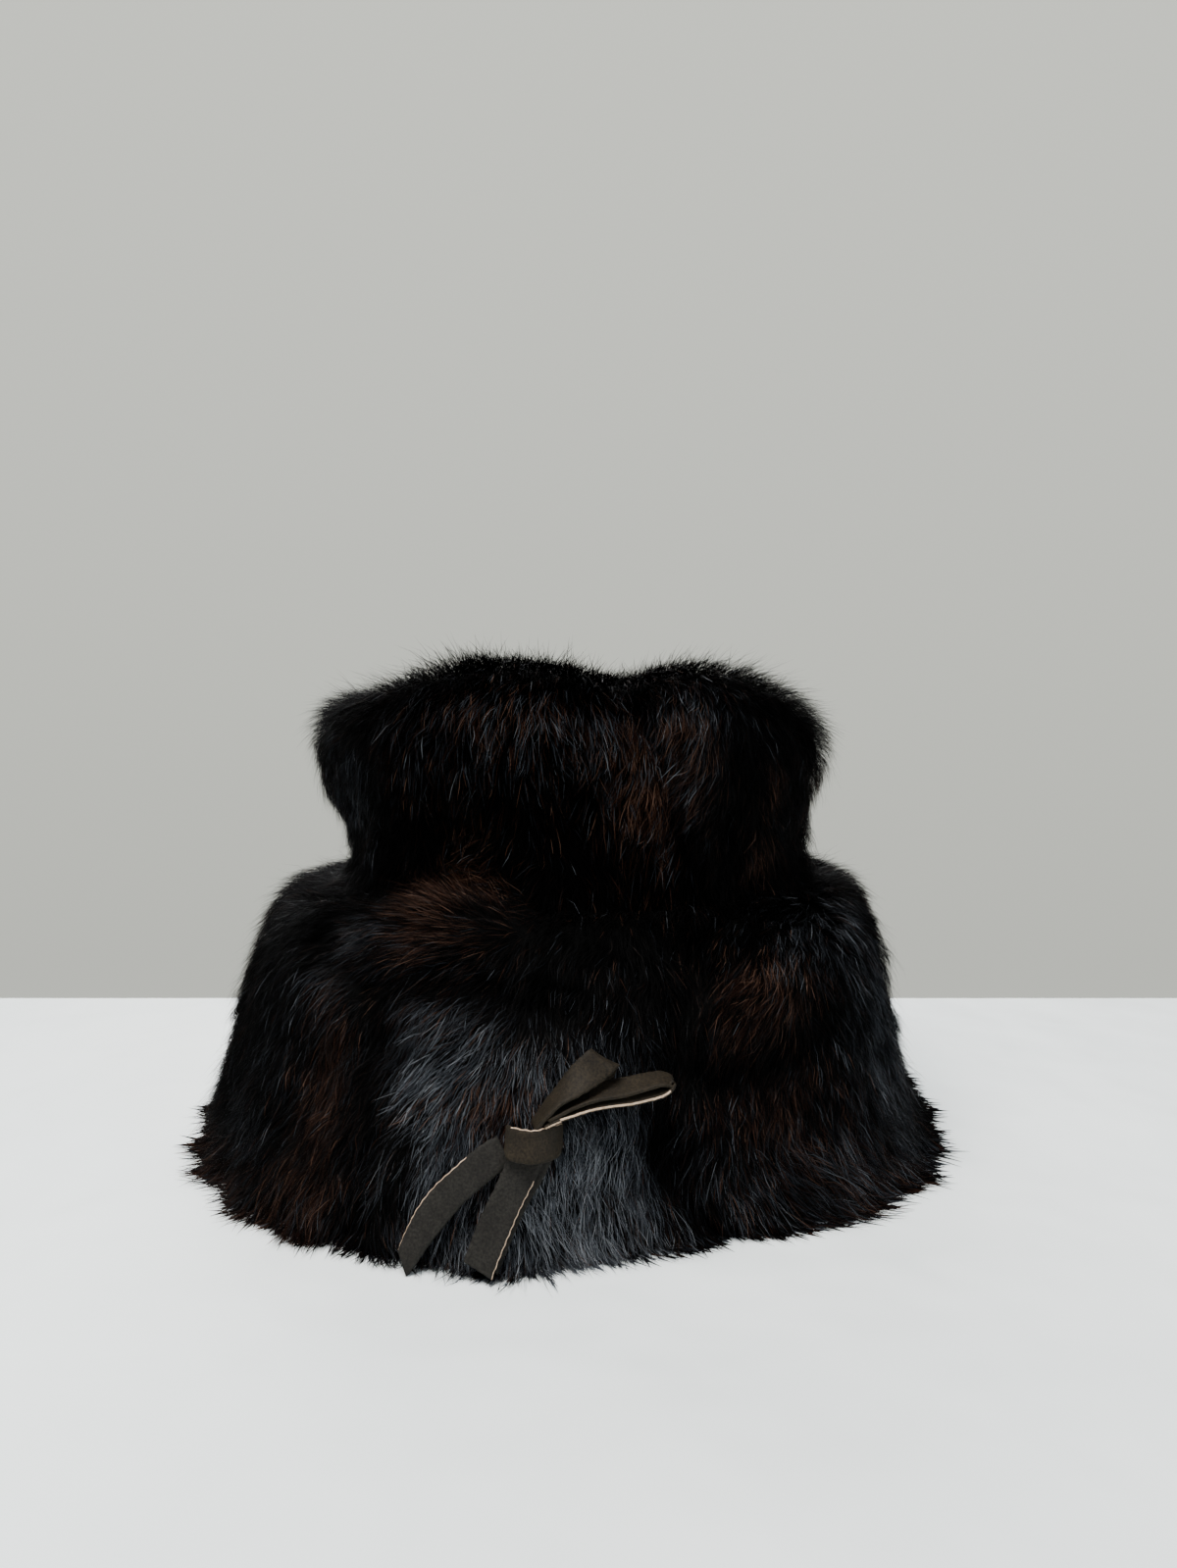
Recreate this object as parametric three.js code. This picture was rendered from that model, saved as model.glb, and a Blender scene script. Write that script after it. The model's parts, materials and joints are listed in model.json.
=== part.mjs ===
// A patchwork fur hat: a soft round crown with a creased top, a deep padded brim turned down all
// round, and a strip of leather tied in a bow on the front of the brim.
// Millimetres. The hat stands on its hem at z = 0 and its front faces -Y. An angle about its axis
// is 0 at the front and grows towards +X.
import * as THREE from "three";

// Driving dimensions
const CROWN_R = 112; // outside of the crown's fur
const BRIM_R = 161; // outside of the hem's fur
const SHOULDER_Z = 104; // where the brim leaves the crown
const RIM_Z = 195; // the crown's top edge
const HEAD_R = 92; // inside of the crown
const WALL = 16; // a brim pelt and its dense fur
const LOCK_RELIEF = 6; // how deep the fur parts between two locks
const SEAM_GAP = 1; // between two pelts
const CREASE = { x: 20, halfWidth: 21, depth: 9 }; // the valley that runs back over the top
const AXIS_Y = 6.5; // the hat's front reaches further than its back, so its axis is not the middle
const STRAP = { width: 10.5, thick: 1.2, steps: 15 };

// The wall's section from the middle of the top to the hem. Shares say how much of the crown's
// height, the crown's radius and the hem's radius, which change round the hat, a station takes.
const SECTION = [
  { at: "middle", r: 0, z: RIM_Z - 9, inR: 0, inZ: RIM_Z - 22, rim: 0.5, crown: 0, hem: 0 },
  { at: "tip middle", r: 44, z: RIM_Z - 6, inR: 42, inZ: RIM_Z - 19, rim: 0.7, crown: 0.3, hem: 0 },
  { at: "tip edge", r: 86, z: RIM_Z, inR: 76, inZ: RIM_Z - 14, rim: 1, crown: 0.7, hem: 0 },
  { at: "rim", r: CROWN_R - 5, z: RIM_Z - 3, inR: HEAD_R - 5, inZ: RIM_Z - 18, rim: 1, crown: 1, hem: 0 },
  { at: "under rim", r: CROWN_R + 2, z: 181, inR: HEAD_R + 1, inZ: 168, rim: 0.9, crown: 1, hem: 0 },
  { at: "bulge", r: CROWN_R + 2, z: 157, inR: HEAD_R + 3, inZ: 153, rim: 0.5, crown: 1, hem: 0 },
  { at: "band", r: CROWN_R - 2, z: 131, inR: HEAD_R + 2, inZ: 130, rim: 0, crown: 1, hem: 0 },
  { at: "waist", r: CROWN_R - 1, z: SHOULDER_Z + 4, inR: HEAD_R, inZ: 99, rim: 0, crown: 1, hem: 0 },
  { at: "shoulder", r: 127, z: SHOULDER_Z, inR: 105, inZ: 89, rim: 0, crown: 0.7, hem: 0.2 },
  { at: "turn", r: 139, z: 87, inR: 121, inZ: 76, rim: 0, crown: 0.3, hem: 0.4 },
  { at: "skirt", r: 147, z: 56, inR: 131, inZ: 52, rim: 0, crown: 0, hem: 0.7 },
  { at: "flare", r: 154, z: 24, inR: 139, inZ: 22, rim: 0, crown: 0, hem: 0.9 },
  { at: "hem", r: BRIM_R, z: 0, inR: BRIM_R - WALL, inZ: 0, rim: 0, crown: 0, hem: 1 },
];
const stationOf = (name) => SECTION.findIndex((row) => row.at === name);

// What changes round the hat: the height of the rim, and the radius of the crown and of the hem.
const ROUND = [
  { deg: -180, rim: -8, crown: 6, hem: 4 },
  { deg: -135, rim: -10, crown: 2, hem: 3 },
  { deg: -95, rim: -12, crown: 2, hem: 1 },
  { deg: -67, rim: -9, crown: 1, hem: 3 },
  { deg: -46, rim: -5, crown: 0, hem: 13 },
  { deg: -28, rim: 1, crown: 2, hem: 16 },
  { deg: -8, rim: 5, crown: 4, hem: 13 },
  { deg: 12, rim: 7, crown: 4, hem: 4 },
  { deg: 27, rim: 5, crown: 3, hem: 0 },
  { deg: 42, rim: 0, crown: 2, hem: 6 },
  { deg: 68, rim: -11, crown: 2, hem: 1 },
  { deg: 95, rim: -20, crown: 3, hem: 0 },
  { deg: 135, rim: -13, crown: 3, hem: 2 },
];

// Soft dents (deep > 0) and swells (deep < 0) of the whole wall.
const DENTS = [
  { what: "crease down the front", deg: 10, station: 4.2, wide: 13, tall: 1.5, deep: 7 },
  { what: "tuck under the left rim", deg: -88, station: 6.4, wide: 34, tall: 1, deep: 8 },
  { what: "hollow above the front brim", deg: 2, station: 8.4, wide: 26, tall: 1, deep: 6 },
  { what: "lobe over the left seam", deg: -40, station: 8.6, wide: 13, tall: 0.9, deep: -7 },
  { what: "right shoulder", deg: 52, station: 8.8, wide: 18, tall: 1.1, deep: -3 },
  { what: "fold down the right side", deg: 80, station: 10.5, wide: 9, tall: 2, deep: 5 },
  { what: "swell of the left side", deg: -70, station: 10.5, wide: 16, tall: 1.6, deep: -3 },
  { what: "fold at the back left", deg: -140, station: 10.5, wide: 10, tall: 2, deep: 5 },
  { what: "fold at the back right", deg: 150, station: 10.2, wide: 12, tall: 1.8, deep: 4 },
  { what: "dent in the back of the crown", deg: 170, station: 5, wide: 18, tall: 1.5, deep: 6 },
];

// The seams between pelts, as angles at a piece's top, middle and foot.
const SEAMS = {
  frontLeft: { top: -46, middle: -42, foot: -48 },
  frontRight: { top: 16, middle: 22, foot: 34 },
  backRight: { top: 112, middle: 118, foot: 116 },
  backLeft: { top: -128, middle: -122, foot: -126 },
  footFrontLeft: { top: -50, middle: -27, foot: -27 },
  footFrontRight: { top: 39, middle: 16, foot: 22 },
  footBackRight: { top: 128, middle: 134, foot: 130 },
  footBackLeft: { top: -134, middle: -138, foot: -132 },
};

const radians = THREE.MathUtils.degToRad;
const wrapped = (deg) => THREE.MathUtils.euclideanModulo(deg + 180, 360) - 180;

const sectionCurve = (radius, height) =>
  new THREE.CatmullRomCurve3(SECTION.map((row) => new THREE.Vector3(row[radius], 0, row[height])));
const OUTSIDE = sectionCurve("r", "z");
const INSIDE = sectionCurve("inR", "inZ");

function shareAt(column, station) {
  const row = Math.min(Math.floor(station), SECTION.length - 2);
  return THREE.MathUtils.lerp(SECTION[row][column], SECTION[row + 1][column], station - row);
}

// A column of ROUND at any angle, by a smooth curve that closes on itself.
function aroundAt(column, deg) {
  const n = ROUND.length;
  const angle = wrapped(deg);
  let i = n - 1;
  while (ROUND[i].deg > angle) i--;
  const at = (k) => {
    const row = ROUND[(k + n) % n];
    return { deg: row.deg + 360 * Math.floor(k / n), value: row[column] };
  };
  const [before, a, b, after] = [at(i - 1), at(i), at(i + 1), at(i + 2)];
  const span = b.deg - a.deg;
  const t = (angle - a.deg) / span;
  const slopeA = ((b.value - before.value) / (b.deg - before.deg)) * span;
  const slopeB = ((after.value - a.value) / (after.deg - a.deg)) * span;
  const [t2, t3] = [t * t, t * t * t];
  return (
    (2 * t3 - 3 * t2 + 1) * a.value + (t3 - 2 * t2 + t) * slopeA +
    (3 * t2 - 2 * t3) * b.value + (t3 - t2) * slopeB
  );
}

function dentAt(deg, station) {
  const reach = (dent) =>
    Math.exp(-((wrapped(deg - dent.deg) / dent.wide) ** 2) - ((station - dent.station) / dent.tall) ** 2);
  return DENTS.reduce((sum, dent) => sum + dent.deep * reach(dent), 0);
}

// The point of the wall at an angle and a station, so far below the outside of the fur, or on the
// inside of the wall.
function wallPoint(deg, station, below, inside = false) {
  const t = station / (SECTION.length - 1);
  const outer = OUTSIDE.getPoint(t);
  const inner = INSIDE.getPoint(t);
  const chosen = inside ? inner : outer;
  const rim = shareAt("rim", station);
  const radial =
    shareAt("crown", station) * aroundAt("crown", deg) +
    shareAt("hem", station) * aroundAt("hem", deg) -
    dentAt(deg, station) * Math.min(1, chosen.x / CROWN_R);
  const inward = new THREE.Vector3().subVectors(inner, outer).normalize();
  const r = Math.max(0, chosen.x + radial + (inside ? 0 : below * inward.x));
  const x = r * Math.sin(radians(deg));
  const valley = CREASE.depth * Math.exp(-(((x - CREASE.x) / CREASE.halfWidth) ** 2));
  const z = chosen.z + (inside ? 0 : below * inward.z) + rim * (aroundAt("rim", deg) - valley);
  return new THREE.Vector3(x, -r * Math.cos(radians(deg)), Math.max(0, z));
}

// A repeatable number from 0 to 1 for each lock.
function chance(a, b, c) {
  const value = Math.sin(a * 127.1 + b * 311.7 + c * 74.7) * 43758.5453;
  return value - Math.floor(value);
}

const COLUMNS_PER_LOCK = 4;
const TIP_OVERLAP = 0.3; // of a lock's length: how far its tip reaches over the next row

// The rows of a pelt's outside mesh, from root to tip for each row of locks. A lock is low at its
// root and along its sides, and its pointed tip stands over the roots of the row below.
function furGrid(pelt, pointAt) {
  const columns = pelt.locks * COLUMNS_PER_LOCK;
  const rows = [];
  for (let row = 0; row < pelt.lockRows; row++) {
    for (const along of [0, 0.5, 1]) {
      const line = [];
      for (let column = 0; column <= columns; column++) {
        const across = (column / COLUMNS_PER_LOCK + (row % 2) / 2) % 1;
        const swell = 1 - Math.abs(2 * across - 1) ** 1.8;
        const lock = Math.floor(column / COLUMNS_PER_LOCK + (row % 2) / 2);
        const height = swell * (0.75 + 0.25 * chance(pelt.seed, row, lock));
        const below = LOCK_RELIEF * (1 - height * [0, 0.62, 1][along * 2]);
        const seam = column === 0 || column === columns;
        const shift = seam ? 0 : [-0.06, 0, TIP_OVERLAP * (height - 0.4)][along * 2];
        const isEnd = (row === 0 && along === 0) || (row === pelt.lockRows - 1 && along === 1);
        const down = (row + along + (isEnd ? 0 : shift)) / pelt.lockRows;
        line.push(pointAt(column / columns, Math.min(down, 1), below - pelt.proud));
      }
      rows.push(line);
    }
  }
  return rows;
}

// Triangles between two lines of points that start and end side by side, whatever their counts.
function stitch(triangles, a, b) {
  let [i, j] = [0, 0];
  while (i < a.length - 1 || j < b.length - 1) {
    const aNext = (i + 1) / (a.length - 1);
    const bNext = (j + 1) / (b.length - 1);
    if (j === b.length - 1 || (i < a.length - 1 && aNext <= bNext)) triangles.push([a[i], b[j], a[++i]]);
    else triangles.push([a[i], b[j], b[++j]]);
  }
}

const geometryOf = (triangles) =>
  new THREE.BufferGeometry().setFromPoints(triangles.flat());

const side = (grid, column) => grid.map((row) => row.at(column));

// A pelt between two seams: its fur outside, the plain skin inside, and the four cut edges.
function peltGeometry(pelt) {
  const spanAt = (down) => {
    const seamAt = ({ top, middle, foot }) =>
      2 * (down - 0.5) * (down - 1) * top - 4 * down * (down - 1) * middle + 2 * down * (down - 0.5) * foot;
    const start = seamAt(SEAMS[pelt.from]);
    const turn = THREE.MathUtils.euclideanModulo(seamAt(SEAMS[pelt.to]) - start, 360);
    return { start, turn };
  };
  const pointAt = (inside) => (across, down, below) => {
    const { start, turn } = spanAt(down);
    const trim = THREE.MathUtils.radToDeg(SEAM_GAP / 2 / CROWN_R);
    const deg = THREE.MathUtils.lerp(start + trim, start + turn - trim, across);
    const station = THREE.MathUtils.lerp(pelt.top, pelt.foot, down);
    const cut = TURN * (1 - down);
    return wallPoint(deg, station + cut, below, inside);
  };
  const outside = furGrid(pelt, pointAt(false));
  const innerRows = 2 * pelt.lockRows;
  const innerColumns = pelt.locks * 2;
  const inside = Array.from({ length: innerRows + 1 }, (_, row) =>
    Array.from({ length: innerColumns + 1 }, (_, column) =>
      pointAt(true)(column / innerColumns, row / innerRows, 0),
    ),
  );
  const triangles = [];
  for (let row = 1; row < outside.length; row++) stitch(triangles, outside[row - 1], outside[row]);
  for (let row = 1; row < inside.length; row++) stitch(triangles, inside[row], inside[row - 1]);
  stitch(triangles, inside[0], outside[0]);
  stitch(triangles, outside.at(-1), inside.at(-1));
  stitch(triangles, side(outside, 0), side(inside, 0));
  stitch(triangles, side(inside, -1), side(outside, -1));
  return geometryOf(triangles);
}

// The round pelt on top, its locks combed out from the middle.
function topGeometry(pelt) {
  const pointAt = (inside) => (across, out, below) =>
    wallPoint(360 * across - 180, THREE.MathUtils.lerp(0.35, pelt.foot, out), below, inside);
  const outside = furGrid(pelt, pointAt(false));
  const innerColumns = pelt.locks * 2;
  const inside = Array.from({ length: pelt.lockRows + 1 }, (_, row) =>
    Array.from({ length: innerColumns + 1 }, (_, column) =>
      pointAt(true)((column % innerColumns) / innerColumns, row / pelt.lockRows, 0),
    ),
  );
  outside.forEach((row) => (row[row.length - 1] = row[0].clone()));
  const triangles = [];
  const middle = (line, wall) => line.map(() => wallPoint(0, 0, wall ? 0 : LOCK_RELIEF, wall));
  stitch(triangles, middle(outside[0], false), outside[0]);
  for (let row = 1; row < outside.length; row++) stitch(triangles, outside[row - 1], outside[row]);
  stitch(triangles, outside.at(-1), inside.at(-1));
  for (let row = 1; row < inside.length; row++) stitch(triangles, inside[row], inside[row - 1]);
  stitch(triangles, inside[0], middle(inside[0], true));
  return geometryOf(triangles.filter(([a, b, c]) => !a.equals(b) && !b.equals(c) && !c.equals(a)));
}

// The outside of the fur on the front of the brim, at a place as it is seen from the front.
function frontPoint(x, z) {
  let deg = 0;
  let station = HEM - 1;
  for (let round = 0; round < 12; round++) {
    const guess = wallPoint(deg, station, 0);
    const lower = wallPoint(deg, station + 0.01, 0);
    station = THREE.MathUtils.clamp(station + ((z - guess.z) / (lower.z - guess.z)) * 0.01, WAIST + 1, HEM);
    deg = THREE.MathUtils.radToDeg(Math.asin(x / Math.hypot(guess.x, guess.y)));
  }
  const at = wallPoint(deg, station, 0);
  const right = wallPoint(deg + 2, station, 0).sub(wallPoint(deg - 2, station, 0)).normalize();
  const up = wallPoint(deg, station - 0.2, 0).sub(at).normalize();
  return { at, right, up, out: new THREE.Vector3().crossVectors(right, up).normalize() };
}

// A strap along rows of places on the front of the brim. out is its distance from the fur, and
// the last three columns are the way its width runs there: to the right, up and out.
function strapGeometry(rows) {
  const places = rows.map((row) => {
    const { at, right, up, out } = frontPoint(row.x, row.z);
    const across = new THREE.Vector3()
      .addScaledVector(right, row.wideRight)
      .addScaledVector(up, row.wideUp)
      .addScaledVector(out, row.wideOut);
    return { at: at.addScaledVector(out, row.out), across };
  });
  const path = new THREE.CatmullRomCurve3(places.map(({ at }) => at));
  const wide = new THREE.CatmullRomCurve3(places.map(({ across }) => across));
  const rings = [];
  for (let step = 0; step <= STRAP.steps; step++) {
    const along = path.getTangent(step / STRAP.steps);
    const across = wide.getPoint(step / STRAP.steps);
    across.addScaledVector(along, -across.dot(along)).normalize().multiplyScalar(STRAP.width / 2);
    const face = new THREE.Vector3().crossVectors(along, across).setLength(STRAP.thick / 2);
    const at = path.getPoint(step / STRAP.steps);
    const corner = (a, f) => at.clone().addScaledVector(across, a).addScaledVector(face, f);
    rings.push([corner(1, 1), corner(-1, 1), corner(-1, -1), corner(1, -1)]);
  }
  const triangles = [];
  for (let step = 0; step < STRAP.steps; step++) {
    const [a, b] = [rings[step], rings[step + 1]];
    for (let i = 0; i < 4; i++) {
      const j = (i + 1) % 4;
      triangles.push([a[i], a[j], b[j]], [a[i], b[j], b[i]]);
    }
  }
  const [first, last] = [rings[0], rings.at(-1)];
  triangles.push([first[0], first[2], first[1]], [first[0], first[3], first[2]]);
  triangles.push([last[0], last[1], last[2]], [last[0], last[2], last[3]]);
  return geometryOf(triangles);
}

// The bow: a band over the bundle, three tails that hang from it and two loops.
const BOW = {
  tie_knot: [
    { x: -18.5, z: 40, out: 5.2, wideRight: 0, wideUp: 1, wideOut: 0 },
    { x: -16.5, z: 40, out: 8, wideRight: 0, wideUp: 1, wideOut: 0 },
    { x: -9, z: 39.5, out: 10.5, wideRight: 0, wideUp: 1, wideOut: 0 },
    { x: -1, z: 40, out: 6.5, wideRight: 0, wideUp: 1, wideOut: 0 },
    { x: 1, z: 40, out: 0.9, wideRight: 0, wideUp: 1, wideOut: 0 },
  ],
  tie_tail_left: [
    { x: -18, z: 37.2, out: 2.7, wideRight: -0.5, wideUp: 0.87, wideOut: 0 },
    { x: -22.5, z: 34.6, out: 3, wideRight: -0.6, wideUp: 0.8, wideOut: 0 },
    { x: -30.5, z: 28, out: 3.4, wideRight: -0.65, wideUp: 0.75, wideOut: 0 },
    { x: -37, z: 22, out: 2.1, wideRight: -0.74, wideUp: 0.67, wideOut: 0 },
    { x: -44, z: 13, out: 1.5, wideRight: -0.83, wideUp: 0.56, wideOut: 0 },
    { x: -50, z: 3, out: 1.3, wideRight: -0.87, wideUp: 0.5, wideOut: 0 },
  ],
  tie_tail_under: [
    { x: -6.5, z: 38, out: 2, wideRight: 1, wideUp: 0, wideOut: 0 },
    { x: -11, z: 30, out: 1.4, wideRight: 1, wideUp: 0.3, wideOut: 0 },
    { x: -18, z: 18, out: 1.2, wideRight: 1, wideUp: 0.4, wideOut: 0 },
    { x: -24, z: 4, out: 1.2, wideRight: 1, wideUp: 0.4, wideOut: 0 },
  ],
  tie_tail_right: [
    { x: -9.5, z: 38, out: 5, wideRight: 1, wideUp: 0.1, wideOut: 0 },
    { x: -14.5, z: 28, out: 4.6, wideRight: 1, wideUp: 0.3, wideOut: 0 },
    { x: -20.5, z: 15.5, out: 4.2, wideRight: 1, wideUp: 0.4, wideOut: 0 },
    { x: -25.5, z: 3, out: 4.2, wideRight: 1, wideUp: 0.4, wideOut: 0 },
  ],
  tie_loop_right: [
    { x: -0.5, z: 46.4, out: 6.2, wideRight: -0.3, wideUp: -0.25, wideOut: 1 },
    { x: 10, z: 49, out: 6.2, wideRight: -0.2, wideUp: -0.5, wideOut: 0.85 },
    { x: 24, z: 51.3, out: 6.4, wideRight: -0.15, wideUp: -0.55, wideOut: 0.8 },
    { x: 34.5, z: 52.8, out: 6.4, wideRight: -0.4, wideUp: -0.3, wideOut: 0.85 },
    { x: 38, z: 55.5, out: 6.4, wideRight: -0.55, wideUp: -0.05, wideOut: 0.85 },
    { x: 34.5, z: 58.2, out: 6.4, wideRight: -0.5, wideUp: -0.2, wideOut: 0.85 },
    { x: 22, z: 56.7, out: 6.4, wideRight: -0.2, wideUp: -0.5, wideOut: 0.85 },
    { x: 10, z: 53, out: 6.2, wideRight: -0.2, wideUp: -0.45, wideOut: 0.85 },
    { x: -1.5, z: 48.8, out: 6.2, wideRight: -0.3, wideUp: -0.25, wideOut: 1 },
  ],
  tie_loop_upper: [
    { x: -6, z: 49.5, out: 6, wideRight: 0.15, wideUp: -0.2, wideOut: 1 },
    { x: -0.5, z: 54, out: 6.8, wideRight: 0.25, wideUp: -0.25, wideOut: 0.95 },
    { x: 5.5, z: 58.5, out: 8, wideRight: 0.65, wideUp: -0.4, wideOut: 0.6 },
    { x: 11.5, z: 62.5, out: 7.4, wideRight: 0.85, wideUp: -0.5, wideOut: 0.1 },
    { x: 15, z: 65, out: 6.2, wideRight: 0.85, wideUp: -0.5, wideOut: 0 },
    { x: 15.8, z: 65.6, out: 4, wideRight: 0.85, wideUp: -0.5, wideOut: 0 },
    { x: 13, z: 64, out: 2, wideRight: 0.85, wideUp: -0.5, wideOut: 0 },
    { x: 6, z: 60.5, out: 1.6, wideRight: 0.85, wideUp: -0.5, wideOut: 0 },
  ],
};

const RIM = stationOf("rim");
const WAIST = stationOf("waist");
const HEM = SECTION.length - 1;
const TURN = 0.06; // of a station: the slit between a piece and the one above it

const fur = (color) => new THREE.MeshStandardMaterial({ color, roughness: 0.75, metalness: 0 });
const BLACK = fur(0x14100f);
const BROWN = fur(0x33211a);
const GREY = fur(0x24262b);
const LEATHER = new THREE.MeshStandardMaterial({ color: 0x4b4135, roughness: 0.7, metalness: 0 });

const CROWN = { top: RIM, foot: WAIST, lockRows: 4, proud: 0 };
const BRIM = { top: WAIST, foot: HEM, lockRows: 5, proud: 0 };
const RIGHT_PROUD = 3; // the right brim pelt lies over the front one
const PELTS = [
  { ...CROWN, name: "crown_front", from: "frontLeft", to: "frontRight", locks: 5, seed: 1, look: BLACK },
  { ...CROWN, name: "crown_right", from: "frontRight", to: "backRight", locks: 7, seed: 2, look: BROWN },
  { ...CROWN, name: "crown_back", from: "backRight", to: "backLeft", locks: 8, seed: 3, look: BLACK },
  { ...CROWN, name: "crown_left", from: "backLeft", to: "frontLeft", locks: 7, seed: 4, look: GREY },
  { ...BRIM, name: "brim_front", from: "footFrontLeft", to: "footFrontRight", locks: 6, seed: 5, look: GREY },
  {
    ...BRIM, proud: RIGHT_PROUD, name: "brim_right",
    from: "footFrontRight", to: "footBackRight", locks: 11, seed: 6, look: BROWN,
  },
  { ...BRIM, name: "brim_back", from: "footBackRight", to: "footBackLeft", locks: 10, seed: 7, look: BLACK },
  { ...BRIM, name: "brim_left", from: "footBackLeft", to: "footFrontLeft", locks: 11, seed: 8, look: BROWN },
];
const TOP = { name: "crown_top", foot: RIM, locks: 13, lockRows: 3, seed: 9, proud: 0, look: BROWN };

const hat = new THREE.Group();
hat.position.y = AXIS_Y;
function add(name, geometry, material) {
  const mesh = new THREE.Mesh(geometry, material);
  mesh.name = name;
  hat.add(mesh);
}
add(TOP.name, topGeometry(TOP), TOP.look);
for (const pelt of PELTS) add(pelt.name, peltGeometry(pelt), pelt.look);
for (const [name, rows] of Object.entries(BOW)) add(name, strapGeometry(rows), LEATHER);

export default hat;
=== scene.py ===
"""A patchwork fur hat with a leather bow, in Blender: short fur on nine pelts, grown from the same
surface that the CAD solids follow, and six leather straps on the front of the brim.
Metres. The hat stands on z = 0 and its front faces -Y. An angle is 0 at the front, growing to +X."""
import json
import math

import bpy
import numpy as np
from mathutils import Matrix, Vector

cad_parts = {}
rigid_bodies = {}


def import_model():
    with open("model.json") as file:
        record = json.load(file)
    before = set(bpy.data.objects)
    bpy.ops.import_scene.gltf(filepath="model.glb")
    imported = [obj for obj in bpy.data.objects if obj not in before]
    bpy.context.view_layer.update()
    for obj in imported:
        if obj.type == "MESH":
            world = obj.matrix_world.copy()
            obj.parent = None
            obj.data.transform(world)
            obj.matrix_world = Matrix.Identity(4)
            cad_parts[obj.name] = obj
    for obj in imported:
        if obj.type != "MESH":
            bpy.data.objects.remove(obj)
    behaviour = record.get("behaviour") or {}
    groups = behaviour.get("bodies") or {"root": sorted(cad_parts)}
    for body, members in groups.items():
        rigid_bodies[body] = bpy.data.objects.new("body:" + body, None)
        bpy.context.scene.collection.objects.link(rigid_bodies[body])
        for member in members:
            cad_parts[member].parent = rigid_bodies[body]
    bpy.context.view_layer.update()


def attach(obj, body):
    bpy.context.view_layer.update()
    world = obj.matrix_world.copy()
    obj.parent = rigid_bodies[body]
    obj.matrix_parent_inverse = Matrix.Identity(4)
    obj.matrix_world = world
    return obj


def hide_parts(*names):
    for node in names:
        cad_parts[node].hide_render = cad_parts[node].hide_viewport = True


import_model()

MM = 0.001
AXIS_Y = 6.5
CROWN_R = 112
CREASE = {"x": 20, "half_width": 21, "depth": 9}

# The wall's section from the middle of the top to the hem, in mm, as in the CAD source.
SECTION = [
    # place, r, z, inside r, inside z, and how far ROUND's rim, crown and hem move it
    ("middle", 0, 186, 0, 173, 0.5, 0, 0),
    ("tip middle", 44, 189, 42, 176, 0.7, 0.3, 0),
    ("tip edge", 86, 195, 76, 181, 1, 0.7, 0),
    ("rim", 107, 192, 87, 177, 1, 1, 0),
    ("under rim", 114, 181, 93, 168, 0.9, 1, 0),
    ("bulge", 114, 157, 95, 153, 0.5, 1, 0),
    ("band", 110, 131, 94, 130, 0, 1, 0),
    ("waist", 111, 108, 92, 99, 0, 1, 0),
    ("shoulder", 127, 104, 105, 89, 0, 0.7, 0.2),
    ("turn", 139, 87, 121, 76, 0, 0.3, 0.4),
    ("skirt", 147, 56, 131, 52, 0, 0, 0.7),
    ("flare", 154, 24, 139, 22, 0, 0, 0.9),
    ("hem", 161, 0, 145, 0, 0, 0, 1),
]
RIM = 3
WAIST = 7
HEM = 12
TOP_GAP = 0.06  # of a station, between a pelt and the one over it

ROUND = [
    # angle, and mm more in the rim's height, the crown's radius and the hem's radius
    (-180, -8, 6, 4),
    (-135, -10, 2, 3),
    (-95, -12, 2, 1),
    (-67, -9, 1, 3),
    (-46, -5, 0, 13),
    (-28, 1, 2, 16),
    (-8, 5, 4, 13),
    (12, 7, 4, 4),
    (27, 5, 3, 0),
    (42, 0, 2, 6),
    (68, -11, 2, 1),
    (95, -20, 3, 0),
    (135, -13, 3, 2),
]
RIM_HEIGHT, CROWN_RADIUS, HEM_RADIUS = 1, 2, 3

DENTS = [
    # what, angle, station, angle wide, stations tall, mm deep
    ("crease down the front", 10, 4.2, 13, 1.5, 7),
    ("tuck under the left rim", -88, 6.4, 34, 1, 8),
    ("hollow above the front brim", 2, 8.4, 26, 1, 6),
    ("left lobe", -40, 8.6, 13, 0.9, -7),
    ("right shoulder", 52, 8.8, 18, 1.1, -3),
    ("fold down the right side", 80, 10.5, 9, 2, 5),
    ("swell of the left side", -70, 10.5, 16, 1.6, -3),
    ("fold at the back left", -140, 10.5, 10, 2, 5),
    ("fold at the back right", 150, 10.2, 12, 1.8, 4),
    ("crown's back dent", 170, 5, 18, 1.5, 6),
]

SEAMS = {
    # angles at a pelt's top, middle and foot
    "front left": (-46, -42, -48),
    "front right": (16, 22, 34),
    "back right": (112, 118, 116),
    "back left": (-128, -122, -126),
    "foot front left": (-50, -27, -27),
    "foot front right": (39, 16, 22),
    "foot back right": (128, 134, 130),
    "foot back left": (-134, -138, -132),
}

PELTS = [
    # node, slot, first seam, second seam, top station, foot station, mm proud
    ("crown_front", "fur_black", "front left", "front right", RIM, WAIST, 0),
    ("crown_right", "fur_brown", "front right", "back right", RIM, WAIST, 0),
    ("crown_back", "fur_black", "back right", "back left", RIM, WAIST, 0),
    ("crown_left", "fur_grey", "back left", "front left", RIM, WAIST, 0),
    ("brim_front", "fur_grey", "foot front left", "foot front right", WAIST, HEM, 0),
    ("brim_right", "fur_brown", "foot front right", "foot back right", WAIST, HEM, 3),
    ("brim_back", "fur_black", "foot back right", "foot back left", WAIST, HEM, 0),
    ("brim_left", "fur_brown", "foot back left", "foot front left", WAIST, HEM, 0),
]


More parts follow.
